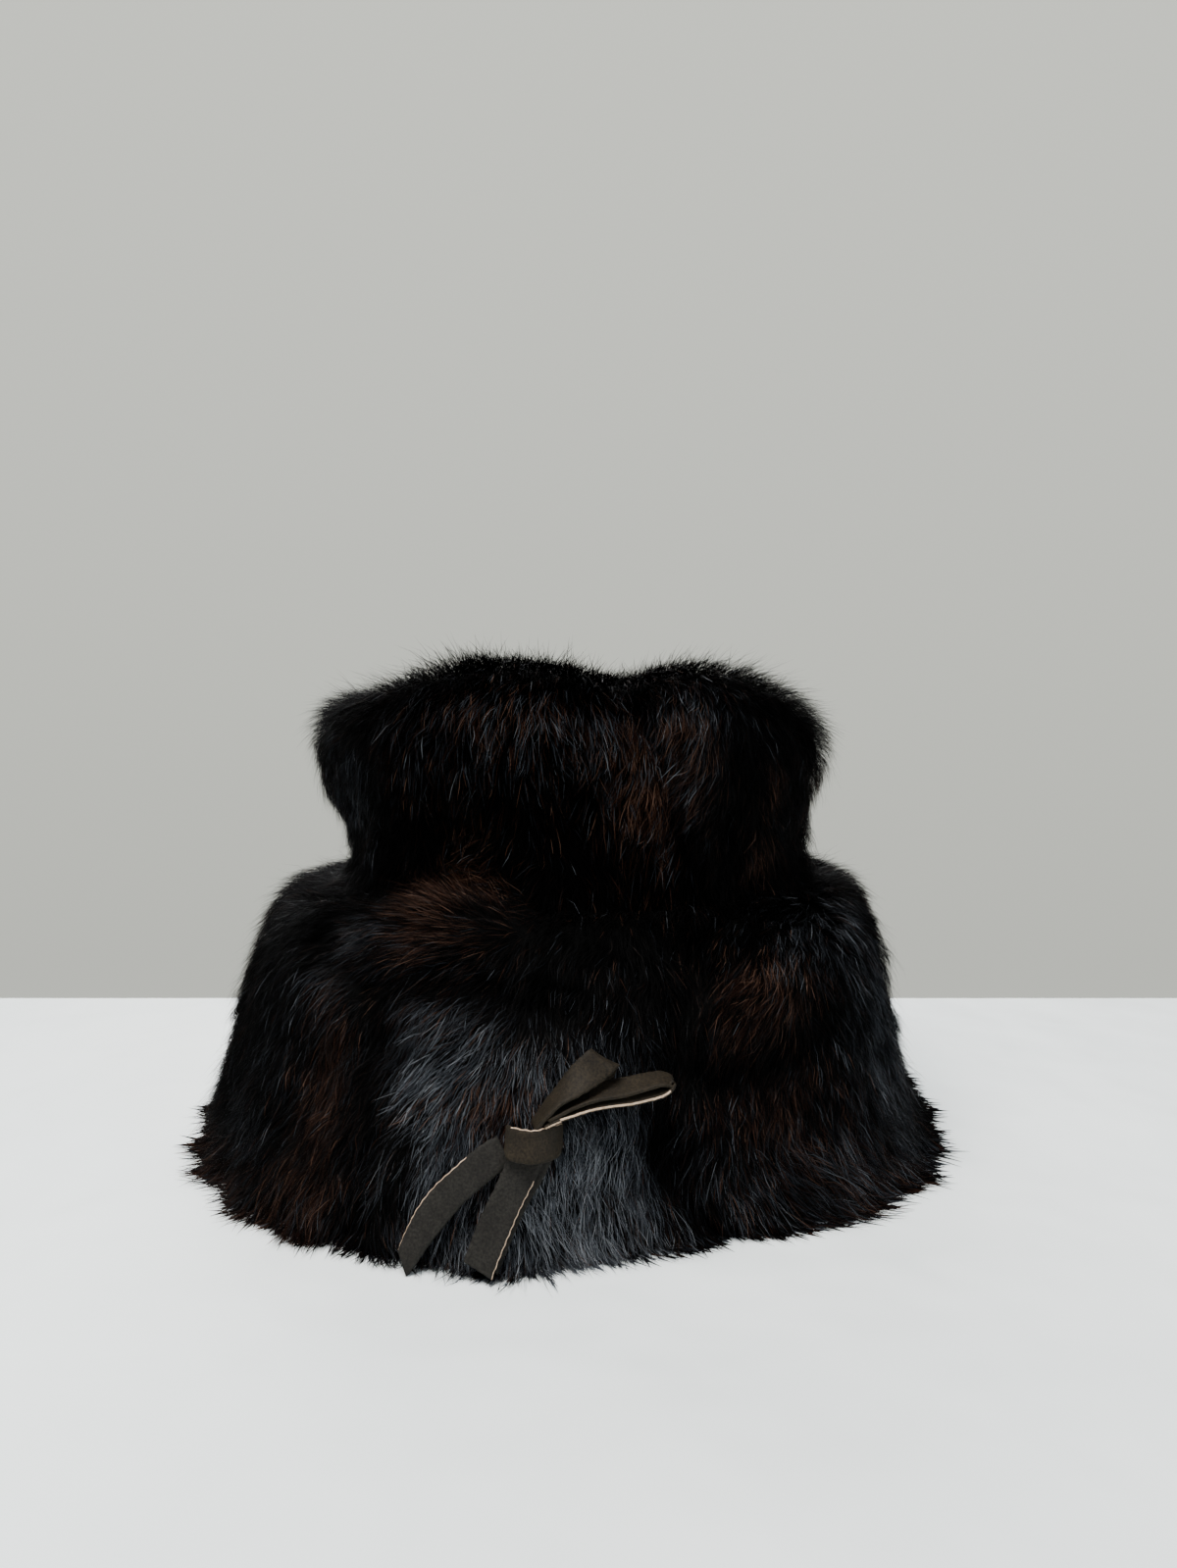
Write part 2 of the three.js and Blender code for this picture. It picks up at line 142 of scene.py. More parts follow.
def smooth_curve(rows):
    """A smooth curve through rows of numbers, as a function of how many rows along it is."""
    count = len(rows)
    rows = np.array(rows, float)
    rows = np.vstack([2 * rows[0] - rows[1], rows, 2 * rows[-1] - rows[-2]])
    step = np.maximum(np.linalg.norm(np.diff(rows, axis=0), axis=1), 1e-8) ** 0.5

    def at(place):
        place = np.clip(np.asarray(place, float), 0, count - 1)
        i = np.minimum(place.astype(int), count - 2)
        t = (place - i)[..., None]
        p0, p1, p2, p3 = (rows[i + k] for k in range(4))
        d0, d1, d2 = (step[i + k][..., None] for k in range(3))
        slope1 = ((p1 - p0) / d0 - (p2 - p0) / (d0 + d1) + (p2 - p1) / d1) * d1
        slope2 = ((p2 - p1) / d1 - (p3 - p1) / (d1 + d2) + (p3 - p2) / d2) * d1
        cubic = 2 * p1 - 2 * p2 + slope1 + slope2
        square = -3 * p1 + 3 * p2 - 2 * slope1 - slope2
        return p1 + t * (slope1 + t * (square + t * cubic))

    return at


OUTSIDE = smooth_curve([row[1:3] for row in SECTION])
INSIDE = smooth_curve([row[3:5] for row in SECTION])


def wrapped(deg):
    return (deg + 180) % 360 - 180


def unit(vectors):
    return vectors / np.maximum(np.linalg.norm(vectors, axis=-1, keepdims=True), 1e-9)


def around_at(column, deg):
    """A column of ROUND at any angle, by a smooth curve that closes on itself."""
    n = len(ROUND)
    angle = np.array([row[0] + 360 * k for k in (-1, 0, 1) for row in ROUND], float)
    value = np.array([row[column] for row in ROUND] * 3, float)
    slope = (np.roll(value, -1) - np.roll(value, 1)) / (np.roll(angle, -1) - np.roll(angle, 1))
    deg = wrapped(deg)
    i = np.searchsorted(angle, deg, side="right") - 1
    i = np.clip(i, n, 2 * n - 1)
    span = angle[i + 1] - angle[i]
    t = (deg - angle[i]) / span
    t2, t3 = t * t, t * t * t
    return (
        (2 * t3 - 3 * t2 + 1) * value[i]
        + (t3 - 2 * t2 + t) * slope[i] * span
        + (3 * t2 - 2 * t3) * value[i + 1]
        + (t3 - t2) * slope[i + 1] * span
    )


def share_at(column, station):
    """How far a column of ROUND moves a station: SECTION holds these shares in its last columns."""
    return np.interp(station, range(len(SECTION)), [row[4 + column] for row in SECTION])


def bumps(table, deg, station):
    """The sum of a table's soft round bumps: angle, station, wide, tall and height."""
    total = np.zeros(np.broadcast(deg, station).shape)
    for _, at_deg, at_station, wide, tall, height in table:
        reach = (wrapped(deg - at_deg) / wide) ** 2 + ((station - at_station) / tall) ** 2
        total = total + height * np.exp(-reach)
    return total


def wall_point(deg, station, below=0.0, inside=False):
    """Points of the wall in metres, so many mm below the outside of the fur, or on its inside."""
    deg, station = np.broadcast_arrays(np.asarray(deg, float), np.asarray(station, float))
    outer = OUTSIDE(station)
    inner = INSIDE(station)
    chosen = inner if inside else outer
    inward = unit(inner - outer)
    below = np.zeros(deg.shape) if inside else below * np.ones(deg.shape)
    radial = share_at(CROWN_RADIUS, station) * around_at(CROWN_RADIUS, deg)
    radial = radial + share_at(HEM_RADIUS, station) * around_at(HEM_RADIUS, deg)
    radial = radial - bumps(DENTS, deg, station) * np.minimum(1, chosen[..., 0] / CROWN_R)
    r = np.maximum(0, chosen[..., 0] + radial + below * inward[..., 0])
    x = r * np.sin(np.radians(deg))
    valley = CREASE["depth"] * np.exp(-(((x - CREASE["x"]) / CREASE["half_width"]) ** 2))
    z = chosen[..., 1] + below * inward[..., 1]
    z = z + share_at(RIM_HEIGHT, station) * (around_at(RIM_HEIGHT, deg) - valley)
    y = AXIS_Y - r * np.cos(np.radians(deg))
    return np.stack([x, y, np.maximum(0, z)], axis=-1) * MM


# Where the hairs are brown or grey, and the rest is black, and which way they are combed. The tuft
# stands over the brim's front, with the left lobe to the left under it.
BROWN = [
    # what, angle, station, angle wide, stations tall, share of the hairs
    ("tuft", -18, 7.5, 9, 1.25, 1.0),
    ("crown's front rim", -9, 3.9, 14, 0.5, 0.6),
    ("crown's front", -20, 4.6, 24, 1.2, 0.1),
    ("crown's right front", 19, 4.7, 10, 1.4, 1.1),
    ("streak by the left seam", -33, 9.6, 5, 1.0, 0.75),
    ("foot of that streak", -30, 11.0, 7, 0.9, 0.6),
    ("crown's right spot", 48, 5.0, 3, 0.4, 0.9),
    ("spot under it", 44, 6.1, 5, 0.5, 0.9),
    ("spot over the bow", -7, 10.1, 4, 0.25, 0.9),
    ("tan patch", 30, 9.1, 9, 0.6, 1.1),
    ("reddish patch under it", 29, 10.2, 9, 0.4, 0.9),
    ("right foot", 34, 11.3, 16, 0.8, 0.35),
    # The hem's brown shares are partly the fur's brown, partly painted light over the hem's shade.
    ("hem at the left", -50, 11.8, 26, 0.5, 0.5),
    ("hem at the back", 180, 11.8, 60, 0.5, 0.35),
    ("right side", 88, 9.6, 13, 1.3, 0.7),
    ("crown's right", 85, 5.4, 14, 1.1, 0.6),
    ("brim's back right", 118, 11, 12, 0.9, 0.6),
    ("crown's back", 176, 5.5, 16, 1.0, 0.5),
    ("crown's left", -92, 5.2, 16, 1.2, 0.5),
    ("left side", -88, 9.4, 13, 1.2, 0.75),
    ("brim's back left", -128, 10.6, 13, 1.1, 0.6),
    ("brim's back", 168, 9.5, 12, 1.0, 0.55),
    ("back of the top", 175, 2.2, 60, 1.2, 0.4),
    ("left of the top", -75, 1.7, 40, 0.8, 0.4),
]
GREY = [
    # what, angle, station, angle wide, stations tall, share of the hairs
    ("left lobe", -32, 8.6, 7, 0.55, 0.8),
    ("under the tuft", -17, 9.5, 10, 0.65, 0.85),
    # The front foot's grey is partly grey fur, partly painted sheen of the cool light.
    ("front foot", 2, 11.0, 12, 1.2, 1.5),
    ("front foot's left", -16, 11.2, 8, 1.0, 0.9),
    ("left side's edge", -47, 10.4, 9, 1.9, 0.3),
    ("right brim's curl", 46, 8.3, 12, 0.6, 0.75),
    ("rim's front right", 24, 3.8, 14, 0.4, 0.6),
    ("crown's front", -14, 4.0, 26, 0.8, 0.42),
    ("crown's right front", 20, 4.6, 10, 1.3, 0.4),
    ("brim's right edge", 50, 10.1, 8, 1.1, 0.5),
    ("crown's left corner", -52, 5.0, 9, 1.0, 0.5),
    ("crown's back left", -140, 5.6, 14, 1.1, 0.5),
    ("right foot", 34, 11.3, 14, 0.7, 0.5),
    ("right side", 60, 10.2, 9, 1.6, 0.6),
    ("back right", 142, 10.6, 12, 1.2, 0.5),
    ("back left", -160, 11, 14, 1.0, 0.5),
    ("right of the top", 75, 1.5, 40, 0.9, 0.4),
]
COMB = [
    # what, angle, station, angle wide, stations tall, degrees from straight down towards +X
    ("tuft", -15, 7.5, 16, 1.1, -82),
    ("tuft's top", -18, 6.9, 11, 0.5, -40),
    ("left lobe", -33, 8.6, 9, 0.6, -25),
    ("under the tuft", -13, 9.6, 13, 0.6, -38),
    ("crown's right front", 24, 5.2, 12, 1.6, -32),
    ("right brim", 28, 9.2, 10, 1.2, -36),
    ("right foot", 38, 11.5, 14, 0.7, 42),
    ("left foot", -60, 11.3, 14, 0.9, -24),
    ("right side", 95, 10, 18, 2, 22),
    ("crown's left", -80, 5.4, 18, 1.5, -28),
    ("back left", -150, 10, 20, 2, -26),
    ("back right", 150, 9.6, 20, 2, 24),
]
WHORLS = [
    # what, angle, station, angle wide, stations tall, strength: hairs left of here lie away from it
    ("tuft", -6, 8.0, 15, 1.1, 0.95),
    ("right brim's curl", 50, 8.0, 15, 0.9, 0.8),
    ("left shoulder", -52, 8.0, 10, 0.7, 0.5),
    ("brim's back", 165, 8.2, 16, 0.8, 0.55),
    ("brim's left", -96, 8.3, 14, 0.8, 0.6),
]
# A fold also darkens the hair along it: painted shade.
FOLDS = [
    # what, mm wide, mm deep, mm that the fur over it is raised, and its line by angle and station
    ("under the left lobe", 5, 5, 2.5, [(-43, 8.3), (-30, 8.7), (-20, 8.85), (-10, 8.9), (0, 9.1)]),
    ("left seam", 5.5, 4.5, 0, [(-30, 8.8), (-25, 9.4), (-23, 10), (-20, 10.5), (-19, 11), (-23, 11.6)]),
    ("right seam", 5.5, 4.5, 0, [(26, 8.6), (19, 9.3), (15, 9.9), (13, 10.5), (14, 11.2)]),
    ("under the tan patch", 5, 4.5, 2, [(43, 9.4), (36, 9.8), (29, 9.95), (20, 9.9)]),
    ("right brim's top", 4, 3, 0, [(47, 7.6), (38, 8.0), (31, 8.5), (24, 9)]),
    ("crown's dent", 6, 3, 0, [(38, 4.4), (41, 5.2), (37, 6.2)]),
    ("crown's left corner", 6, 3, 0, [(-50, 3.6), (-43, 4.6), (-41, 5.6)]),
    ("right side", 5, 3.5, 1, [(72, 8.2), (80, 9.6), (78, 11.4)]),
    ("back right", 5, 3.5, 1, [(112, 8.4), (122, 9.8), (140, 10.6), (150, 11.4)]),
    ("back left", 5, 3.5, 1, [(-100, 9), (-112, 9.8), (-118, 11.2)]),
    ("back", 5, 3, 1, [(-175, 8.2), (-168, 9.2), (-170, 10.2)]),
]
LENGTH = [
    # what, angle, station, angle wide, stations tall, added share of the length
    ("tuft", -16, 7.5, 13, 1.0, 0.4),
    ("under the tuft", -13, 9.6, 12, 0.6, 0.2),
    ("hem's left corner", -66, 11.6, 18, 0.9, 0.3),
    ("hem's right corner", 60, 11.6, 18, 0.9, 0.3),
    ("hem", 34, 11.8, 10, 0.5, 0.2),
    ("rim's left half", -30, 3, 26, 0.8, 0.3),
    ("rim's right corner", 60, 3.2, 20, 0.8, 0.25),
]

# Lighter tones by place: many are the fur's own lighter patches, and some are painted light, as marked.
LIGHTER_TONES_AND_PAINTED_LIGHT = [
    # what, angle, station, angle wide, stations tall, how far up the scale of tones
    # Painted sheen of the cool light on the front foot:
    ("front foot", 0, 11.0, 14, 1.2, 0.21),
    # Painted window light on the brim's right edge:
    ("brim's right edge", 54, 10, 12, 1.4, 0.035),
    ("under the tuft", -16, 9.7, 9, 0.6, 0.08),
    ("right brim's curl", 46, 8.3, 12, 0.6, 0.05),
    ("crown's right front", 19, 4.7, 10, 1.3, 0.08),
    # Painted light over the shade at the hem:
    ("hem's left side", -60, 12, 50, 0.7, 0.05),
    ("hem's right side", 50, 12, 36, 0.7, 0.05),
    ("hem at the back", 180, 12, 70, 0.7, 0.05),
    ("tuft's tips", -21, 7.6, 9, 1.1, 0.06),
    ("crown's front rim", -9, 3.8, 18, 0.6, 0.07),
    ("tan patch", 30, 8.9, 9, 0.6, 0.07),
    ("left side", -55, 10, 18, 2, -0.04),
    # Painted light on the dimly lit back:
    ("brim's back", 172, 10, 48, 2.2, 0.06),
    ("crown's back", 176, 5.2, 50, 1.4, 0.05),
]
PUFF = [
    # what, angle, station, angle wide, stations tall, mm that the skin lies deeper (or, below 0, higher)
    ("front of the waist", -2, 7.1, 30, 0.8, -6),
    ("tuft", -18, 7.5, 11, 0.7, -6),
    ("under the bow", -5, 10.5, 15, 1.5, -4.5),
    ("rim", 0, 3, 400, 0.6, -1.5),
    ("under the left lobe", -38, 9.6, 7, 0.9, 3),
    ("right of the waist", 22, 8.3, 7, 0.7, 3),
]
RISE = [
    # what, angle, station, angle wide, stations tall, degrees that the hairs stand off the skin more
    ("tuft", -17, 7.3, 12, 0.7, 25),
    ("right brim's curl", 43, 8.2, 12, 0.5, 12),
    ("left shoulder", -50, 8.2, 10, 0.5, 8),
]

# Lengths are in mm here, where nothing else is said.
HAIR_LENGTH = 12
HAIR_WIDTH = 0.22
HAIR_DENSITY = 1110000  # for each square metre of pelt
GUARD_MORE = 0.35  # how much longer and thinner guard hairs are
LOCK_GAP, STRAND_GAP = 6.5, 1.7
LOCK_PULL, STRAND_PULL = (0.1, 0.52), (0.4, 0.78)  # how far tips are drawn in, by the floor and off it
SWAY = 0.006  # metres
LOCK_WAVES, PATCH_WAVES, SWAY_WAVES = 210.0, 95.0, 130.0  # scales of the noises behind these
WHORL_REACH = 1.4  # how much wider than its row a whorl is felt
SEED_STEP, TOP_SEED = 40, 400  # from pelt to pelt, and for the top
BLACK_TONE, BROWN_TONE, GREY_TONE = 0.02, 0.27, 0.61  # the darkest of each colour on the scale of TONES
TONE_SPREAD = 0.29  # from there to its brightest
STATION_TALL = 20  # from one station to the next, about
SKIN_BELOW = 8.5  # from the outside of the fur down to the skin that the hairs grow on
THINNEST_SKIN = 2.5
# Near a seam the hairs are darker too: painted shade.
SEAM_WIDE, SEAM_DEEP = 5, 4.2
SIDE_GAP = 0.5  # from a pelt's side to the seam's middle
CROWN_GRID, BRIM_GRID, TOP_GRID = (26, 50), (34, 70), (16, 72)  # rows and columns of a skin's faces
FLOOR_GAP, FLOOR_PILE = 0.0004, 0.0016  # metres: under the hairs that lie on the floor, and their depth
FLOOR_SPREAD = 0.15  # how far out these bend, for each metre that they would go under it
HEM_FROM = 0.1  # metres from the middle to the hairs that may reach the floor
FACE = 0.45  # of the UV map's height: hairs lie under it, and the skin over it

# Metres: how far from a strap its fur is looked for, how deep that lies under the strap's middle, and
# how high over it a hair is still pressed down. The margin is in mm past the strap's sides.
STRAP_NEAR, STRAP_BED, STRAP_COVERS = 0.06, 0.0012, 0.009
STRAP_MARGIN = 0.3


def noise_at(points, size, seed):
    """A smooth noise from about -1 to 1 of points in metres, with waves about so many mm long."""
    rng = np.random.default_rng(seed)
    total = np.zeros(points.shape[:-1])
    for _ in range(9):
        way = unit(rng.normal(size=3)) * rng.uniform(0.7, 1.5)
        total = total + np.sin(points @ way * 2 * math.pi / (size * MM) + rng.uniform(0, 2 * math.pi))
    return total / 3


def off_line(deg, station, line):
    """How many mm each place lies from a line on the fur, and 1 where it is on the line's upper side."""
    best = np.full(deg.shape, 1e9)
    over = np.zeros(deg.shape)
    for (deg0, station0), (deg1, station1) in zip(line, line[1:]):
        wide = wrapped(deg1 - deg0) * math.radians(CROWN_R)
        tall = (station1 - station0) * STATION_TALL
        aside = wrapped(deg - deg0) * math.radians(CROWN_R)
        down = (station - station0) * STATION_TALL
        share = np.clip((aside * wide + down * tall) / (wide * wide + tall * tall), 0, 1)
        far = np.hypot(aside - share * wide, down - share * tall)
        over = np.where(far < best, down - share * tall < 0, over)
        best = np.minimum(best, far)
    return best, over


def pelt_grid(first, last, top, foot, proud):
    """A pelt's angles and stations on a grid whose first row is its top, and its mm proud."""
    rows, columns = CROWN_GRID if top == RIM else BRIM_GRID
    down = np.linspace(0, 1, rows + 1)[:, None]

    def seam(angles):
        top_deg, middle, foot_deg = angles
        return (
            2 * (down - 0.5) * (down - 1) * top_deg
            - 4 * down * (down - 1) * middle
            + 2 * down * (down - 0.5) * foot_deg
        )

    start = seam(SEAMS[first])
    turn = (seam(SEAMS[last]) - start) % 360
    trim = math.degrees(SIDE_GAP / CROWN_R)
    across = np.linspace(0, 1, columns + 1)[None, :]
    deg = start + trim + (turn - 2 * trim) * across
    station = top + (foot - top) * down + TOP_GAP * (1 - down) + 0 * across
    return deg, station, proud


def top_grid():
    """The same for the top, whose first row is a small ring round its middle."""
    rows, columns = TOP_GRID
    across = np.linspace(0, 1, columns + 1)[None, :]
    out = np.linspace(0.02, 1, rows + 1)[:, None]
    return 360 * across - 180 + 0 * out, RIM * out + 0 * across, 0


def skin_depth(deg, station, proud, ground, closed):
    """How many mm the skin lies under the fur's outside, and how much of a place is fold or seam,
    which darkens its hairs as painted shade.
    """
    sunk = SKIN_BELOW - proud + 1.5 * noise_at(ground, 38, 3) + 0.7 * noise_at(ground, 15, 4)
    sunk = sunk + bumps(PUFF, deg, station)
    # shade: how much painted shade the hairs get, in folds and in seams
    shade = 0 * sunk
    for _, wide, deep, raised, line in FOLDS:
        far, over = off_line(deg, station, line)
        fold = np.exp(-((far / wide) ** 2))
        sunk = sunk + deep * fold - raised * over * np.exp(-((far / wide - 1.8) ** 2))
        shade = np.maximum(shade, fold)
    if not closed:
        edge = np.minimum(deg - deg[:, :1], deg[:, -1:] - deg) * math.radians(CROWN_R + 20)
        seam = np.exp(-((edge / SEAM_WIDE) ** 2))
        sunk = sunk + SEAM_DEEP * seam
        shade = np.maximum(shade, seam)
    return sunk, shade


def combed(deg, station, ground, along, across):
    """The way that the hairs lie: down the hat, turned by the comb, and away from the whorls."""
    turn = bumps(COMB, deg, station) + 15 * noise_at(ground, 50, 5) + 15 * noise_at(ground, 18, 9)
    turn = np.radians(turn)[..., None]
    comb = along * np.cos(turn) + across * np.sin(turn)
    for what, at_deg, at_station, wide, tall, strength in WHORLS:
        aside = wrapped(deg - at_deg) * math.radians(CROWN_R)
        down = (station - at_station) * STATION_TALL
        reach = [(what, at_deg, at_station, wide * WHORL_REACH, tall * WHORL_REACH, strength)]
        share = (bumps(reach, deg, station) / (1 + np.exp(aside / 5 - 0.5)))[..., None]
        far = np.maximum(np.hypot(aside, down), 1e-6)
        away = across * (aside / far)[..., None] + along * (down / far)[..., None]
        comb = comb * (1 - share) + away * share
    return unit(comb)


def combed_top(station, out, along):
    """The way that the top's hairs lie: forward in the middle, and out to the rim."""
    forward = np.array([0.25, -1.0, 0.0])
    fade = np.clip(1.4 - station / 2.2, 0, 1)[..., None]
    return along * (1 - fade) + (forward - out * (out @ forward)[..., None]) * fade


def skin_mesh(name, outer, inner, closed):
    """A skin with its hairs' ground outside and its flesh side inside. The top's first and last
    columns are the same place, and its middle is closed by a small face on either side."""
    rows, columns = outer.shape[:2]
    index = np.arange(rows * columns).reshape(rows, columns)
    low = index + rows * columns
    faces = []
    for r in range(rows - 1):
        for c in range(columns - 1):
            faces.append((index[r, c], index[r + 1, c], index[r + 1, c + 1], index[r, c + 1]))
            faces.append((low[r, c], low[r, c + 1], low[r + 1, c + 1], low[r + 1, c]))
    if closed:
        faces += [tuple(index[0, :-1]), tuple(low[0, -2::-1])]
    rim = []
    for c in range(columns - 1):
        if not closed:
            rim.append((index[0, c], index[0, c + 1], low[0, c + 1], low[0, c]))
        rim.append((index[-1, c + 1], index[-1, c], low[-1, c], low[-1, c + 1]))
    if not closed:
        for r in range(rows - 1):
            rim.append((index[r + 1, 0], index[r, 0], low[r, 0], low[r + 1, 0]))
            rim.append((index[r, -1], index[r + 1, -1], low[r + 1, -1], low[r, -1]))
    mesh = bpy.data.meshes.new(name + "_skin")
    points = np.concatenate([outer.reshape(-1, 3), inner.reshape(-1, 3)])
    mesh.from_pydata(points.tolist(), [], [list(map(int, face)) for face in faces + rim])
    mesh.update()
    lay_out_skin(mesh, rows, columns, len(faces))
    return mesh


def backing(name, deg, station, proud, closed=False):
    """The pelt's skin as a mesh, with the attributes that say how each place's hairs grow."""
    ground = wall_point(deg, station, 0)
    inner = wall_point(deg, station, 0, inside=True)
    sunk, shade = skin_depth(deg, station, proud, ground, closed)
    sunk = np.minimum(sunk, np.linalg.norm(ground - inner, axis=-1) / MM - THINNEST_SKIN)
    outer = wall_point(deg, station, sunk)
    across = unit(wall_point(deg + 0.4, station, sunk) - wall_point(deg - 0.4, station, sunk))
    along = wall_point(deg, np.minimum(station + 0.03, HEM), sunk)
    along = unit(along - wall_point(deg, np.maximum(station - 0.03, 0), sunk))
    out = np.cross(along, across)
    out *= np.sign((out * (outer - inner)).sum(-1, keepdims=True))
    comb = combed_top(station, out, along) if closed else combed(deg, station, ground, along, across)
    wisps = 0.1 + 0.26 * np.exp(-(((station - HEM) / 0.7) ** 2))
    wisps = wisps + 0.14 * np.exp(-((station - RIM) ** 2))
    rise = bumps(RISE, deg, station) + 14 * np.exp(-((station - 2.9) ** 2))
    grown = {
        "fur": np.ones(deg.shape),
        # In folds and seams fewer hairs are brown or grey and their tones are lower: painted shade.
        "brown": np.clip(bumps(BROWN, deg, station), 0, 1) * (1 - 0.8 * shade),
        "grey": np.clip(bumps(GREY, deg, station), 0, 1) * (1 - 0.8 * shade),
        "lighter": bumps(LIGHTER_TONES_AND_PAINTED_LIGHT, deg, station) + 0.03 * noise_at(ground, 30, 8) - 0.09 * shade,
        "wisps": wisps,
        "size": 1 + bumps(LENGTH, deg, station) + 0.12 * noise_at(ground, 34, 6),
        "rise": rise + 7 * noise_at(ground, 20, 7),
        "comb": comb,
        "out": out,
    }
    mesh = skin_mesh(name, outer, inner, closed)
    for key, values in grown.items():
        vector = values.ndim > deg.ndim
        attribute = mesh.attributes.new(key, "FLOAT_VECTOR" if vector else "FLOAT", "POINT")
        inside = np.zeros(deg.size) if key == "fur" else values.ravel()
        data = np.concatenate([values.ravel(), inside]).astype(np.float32)
        attribute.data.foreach_set("vector" if vector else "value", data)
    mesh.polygons.foreach_set("use_smooth", [True] * len(mesh.polygons))
    return mesh


def lay_out_skin(mesh, rows, columns, main):
    """The backing's own places on the UV map: a strip under its fur with the black hairs' darkest
    root colour, painted shade at the fur's base, and a half for its skin.
    """
    uv = mesh.uv_layers.new(name="OFBake")
    size = rows * columns
    flat = []
    for polygon in mesh.polygons:
        on_skin = polygon.index < main and polygon.vertices[0] >= size
        for vertex in polygon.vertices:
            at = vertex % size
            u = (at % columns) / (columns - 1)
            v = (at // columns) / (rows - 1)
            # Outside, the skin takes the darkest root colour: painted shade under the fur.
            flat.append((u, FACE + 0.02 + (0.98 - FACE) * v) if on_skin else (0.05 * u, 0.02 * v))
        polygon.material_index = 1 if on_skin else 0
    uv.data.foreach_set("uv", np.array(flat, np.float32).ravel())


def join(tree, value, socket):
    """Links another node's socket, or sets a plain value."""
    if isinstance(value, bpy.types.NodeSocket):
        tree.links.new(value, socket)
    else:
        socket.default_value = value


def wire(tree, kind, values=None, **settings):
    """A new node with its settings, and the values and links that go into it."""
    node = tree.nodes.new(kind)
    for key, value in settings.items():
        setattr(node, key, value)
    for key, value in (values or {}).items():
        join(tree, value, node.inputs[key])
    return node


class Tree:
    """A geometry node tree that is built a node at a time."""

    def __init__(self, name):
        self.tree = bpy.data.node_groups.new(name, "GeometryNodeTree")
        self.inputs = {}
        self.entry = self.tree.nodes.new("NodeGroupInput")
        for way in ("INPUT", "OUTPUT"):
            self.tree.interface.new_socket("Geometry", in_out=way, socket_type="NodeSocketGeometry")

    def input(self, name, kind):
        socket = self.tree.interface.new_socket(name, in_out="INPUT", socket_type="NodeSocket" + kind)
        self.inputs[name] = socket.identifier
        return self.entry.outputs[name]

    def add(self, kind, values=None, output=0, **settings):
        return wire(self.tree, kind, values, **settings).outputs[output]

    def math(self, operation, *values):
        return self.add("ShaderNodeMath", dict(enumerate(values)), operation=operation)

    def times(self, one, other):
        return self.math("MULTIPLY", one, other)

    def line(self, value, slope, start):
        return self.math("MULTIPLY_ADD", value, slope, start)

    def vector(self, operation, *values):
        return self.add("ShaderNodeVectorMath", dict(enumerate(values)), operation=operation)

    def scaled(self, vector, factor):
        return self.add("ShaderNodeVectorMath", {0: vector, "Scale": factor}, operation="SCALE")

    def combined(self, x, y, z=0.0):
        return self.add("ShaderNodeCombineXYZ", {0: x, 1: y, 2: z})

    def noise(self, scale, detail, output):
        return self.add("ShaderNodeTexNoise", {"Scale": scale, "Detail": detail}, output)

    def wander(self, scale, far):
        """A smooth random shift, up to about half so far each way."""
        colour = self.noise(scale, 1.0, "Color")
        return self.scaled(self.vector("SUBTRACT", colour, (0.5, 0.5, 0.5)), far)

    def named(self, name, kind="FLOAT"):
        return self.add("GeometryNodeInputNamedAttribute", {"Name": name}, "Attribute", data_type=kind)

    def chance(self, low, high, seed):
        values = {2: low, 3: high, "Seed": seed}
        return self.add("FunctionNodeRandomValue", values, 1, data_type="FLOAT")

    def pick(self, condition, when_false, when_true):
        values = {"Switch": condition, "False": when_false, "True": when_true}
        return self.add("GeometryNodeSwitch", values, input_type="FLOAT")

    def store(self, geometry, name, value, kind="FLOAT", domain="POINT"):
        values = {"Geometry": geometry, "Name": name, "Value": value}
        return self.add("GeometryNodeStoreNamedAttribute", values, data_type=kind, domain=domain)


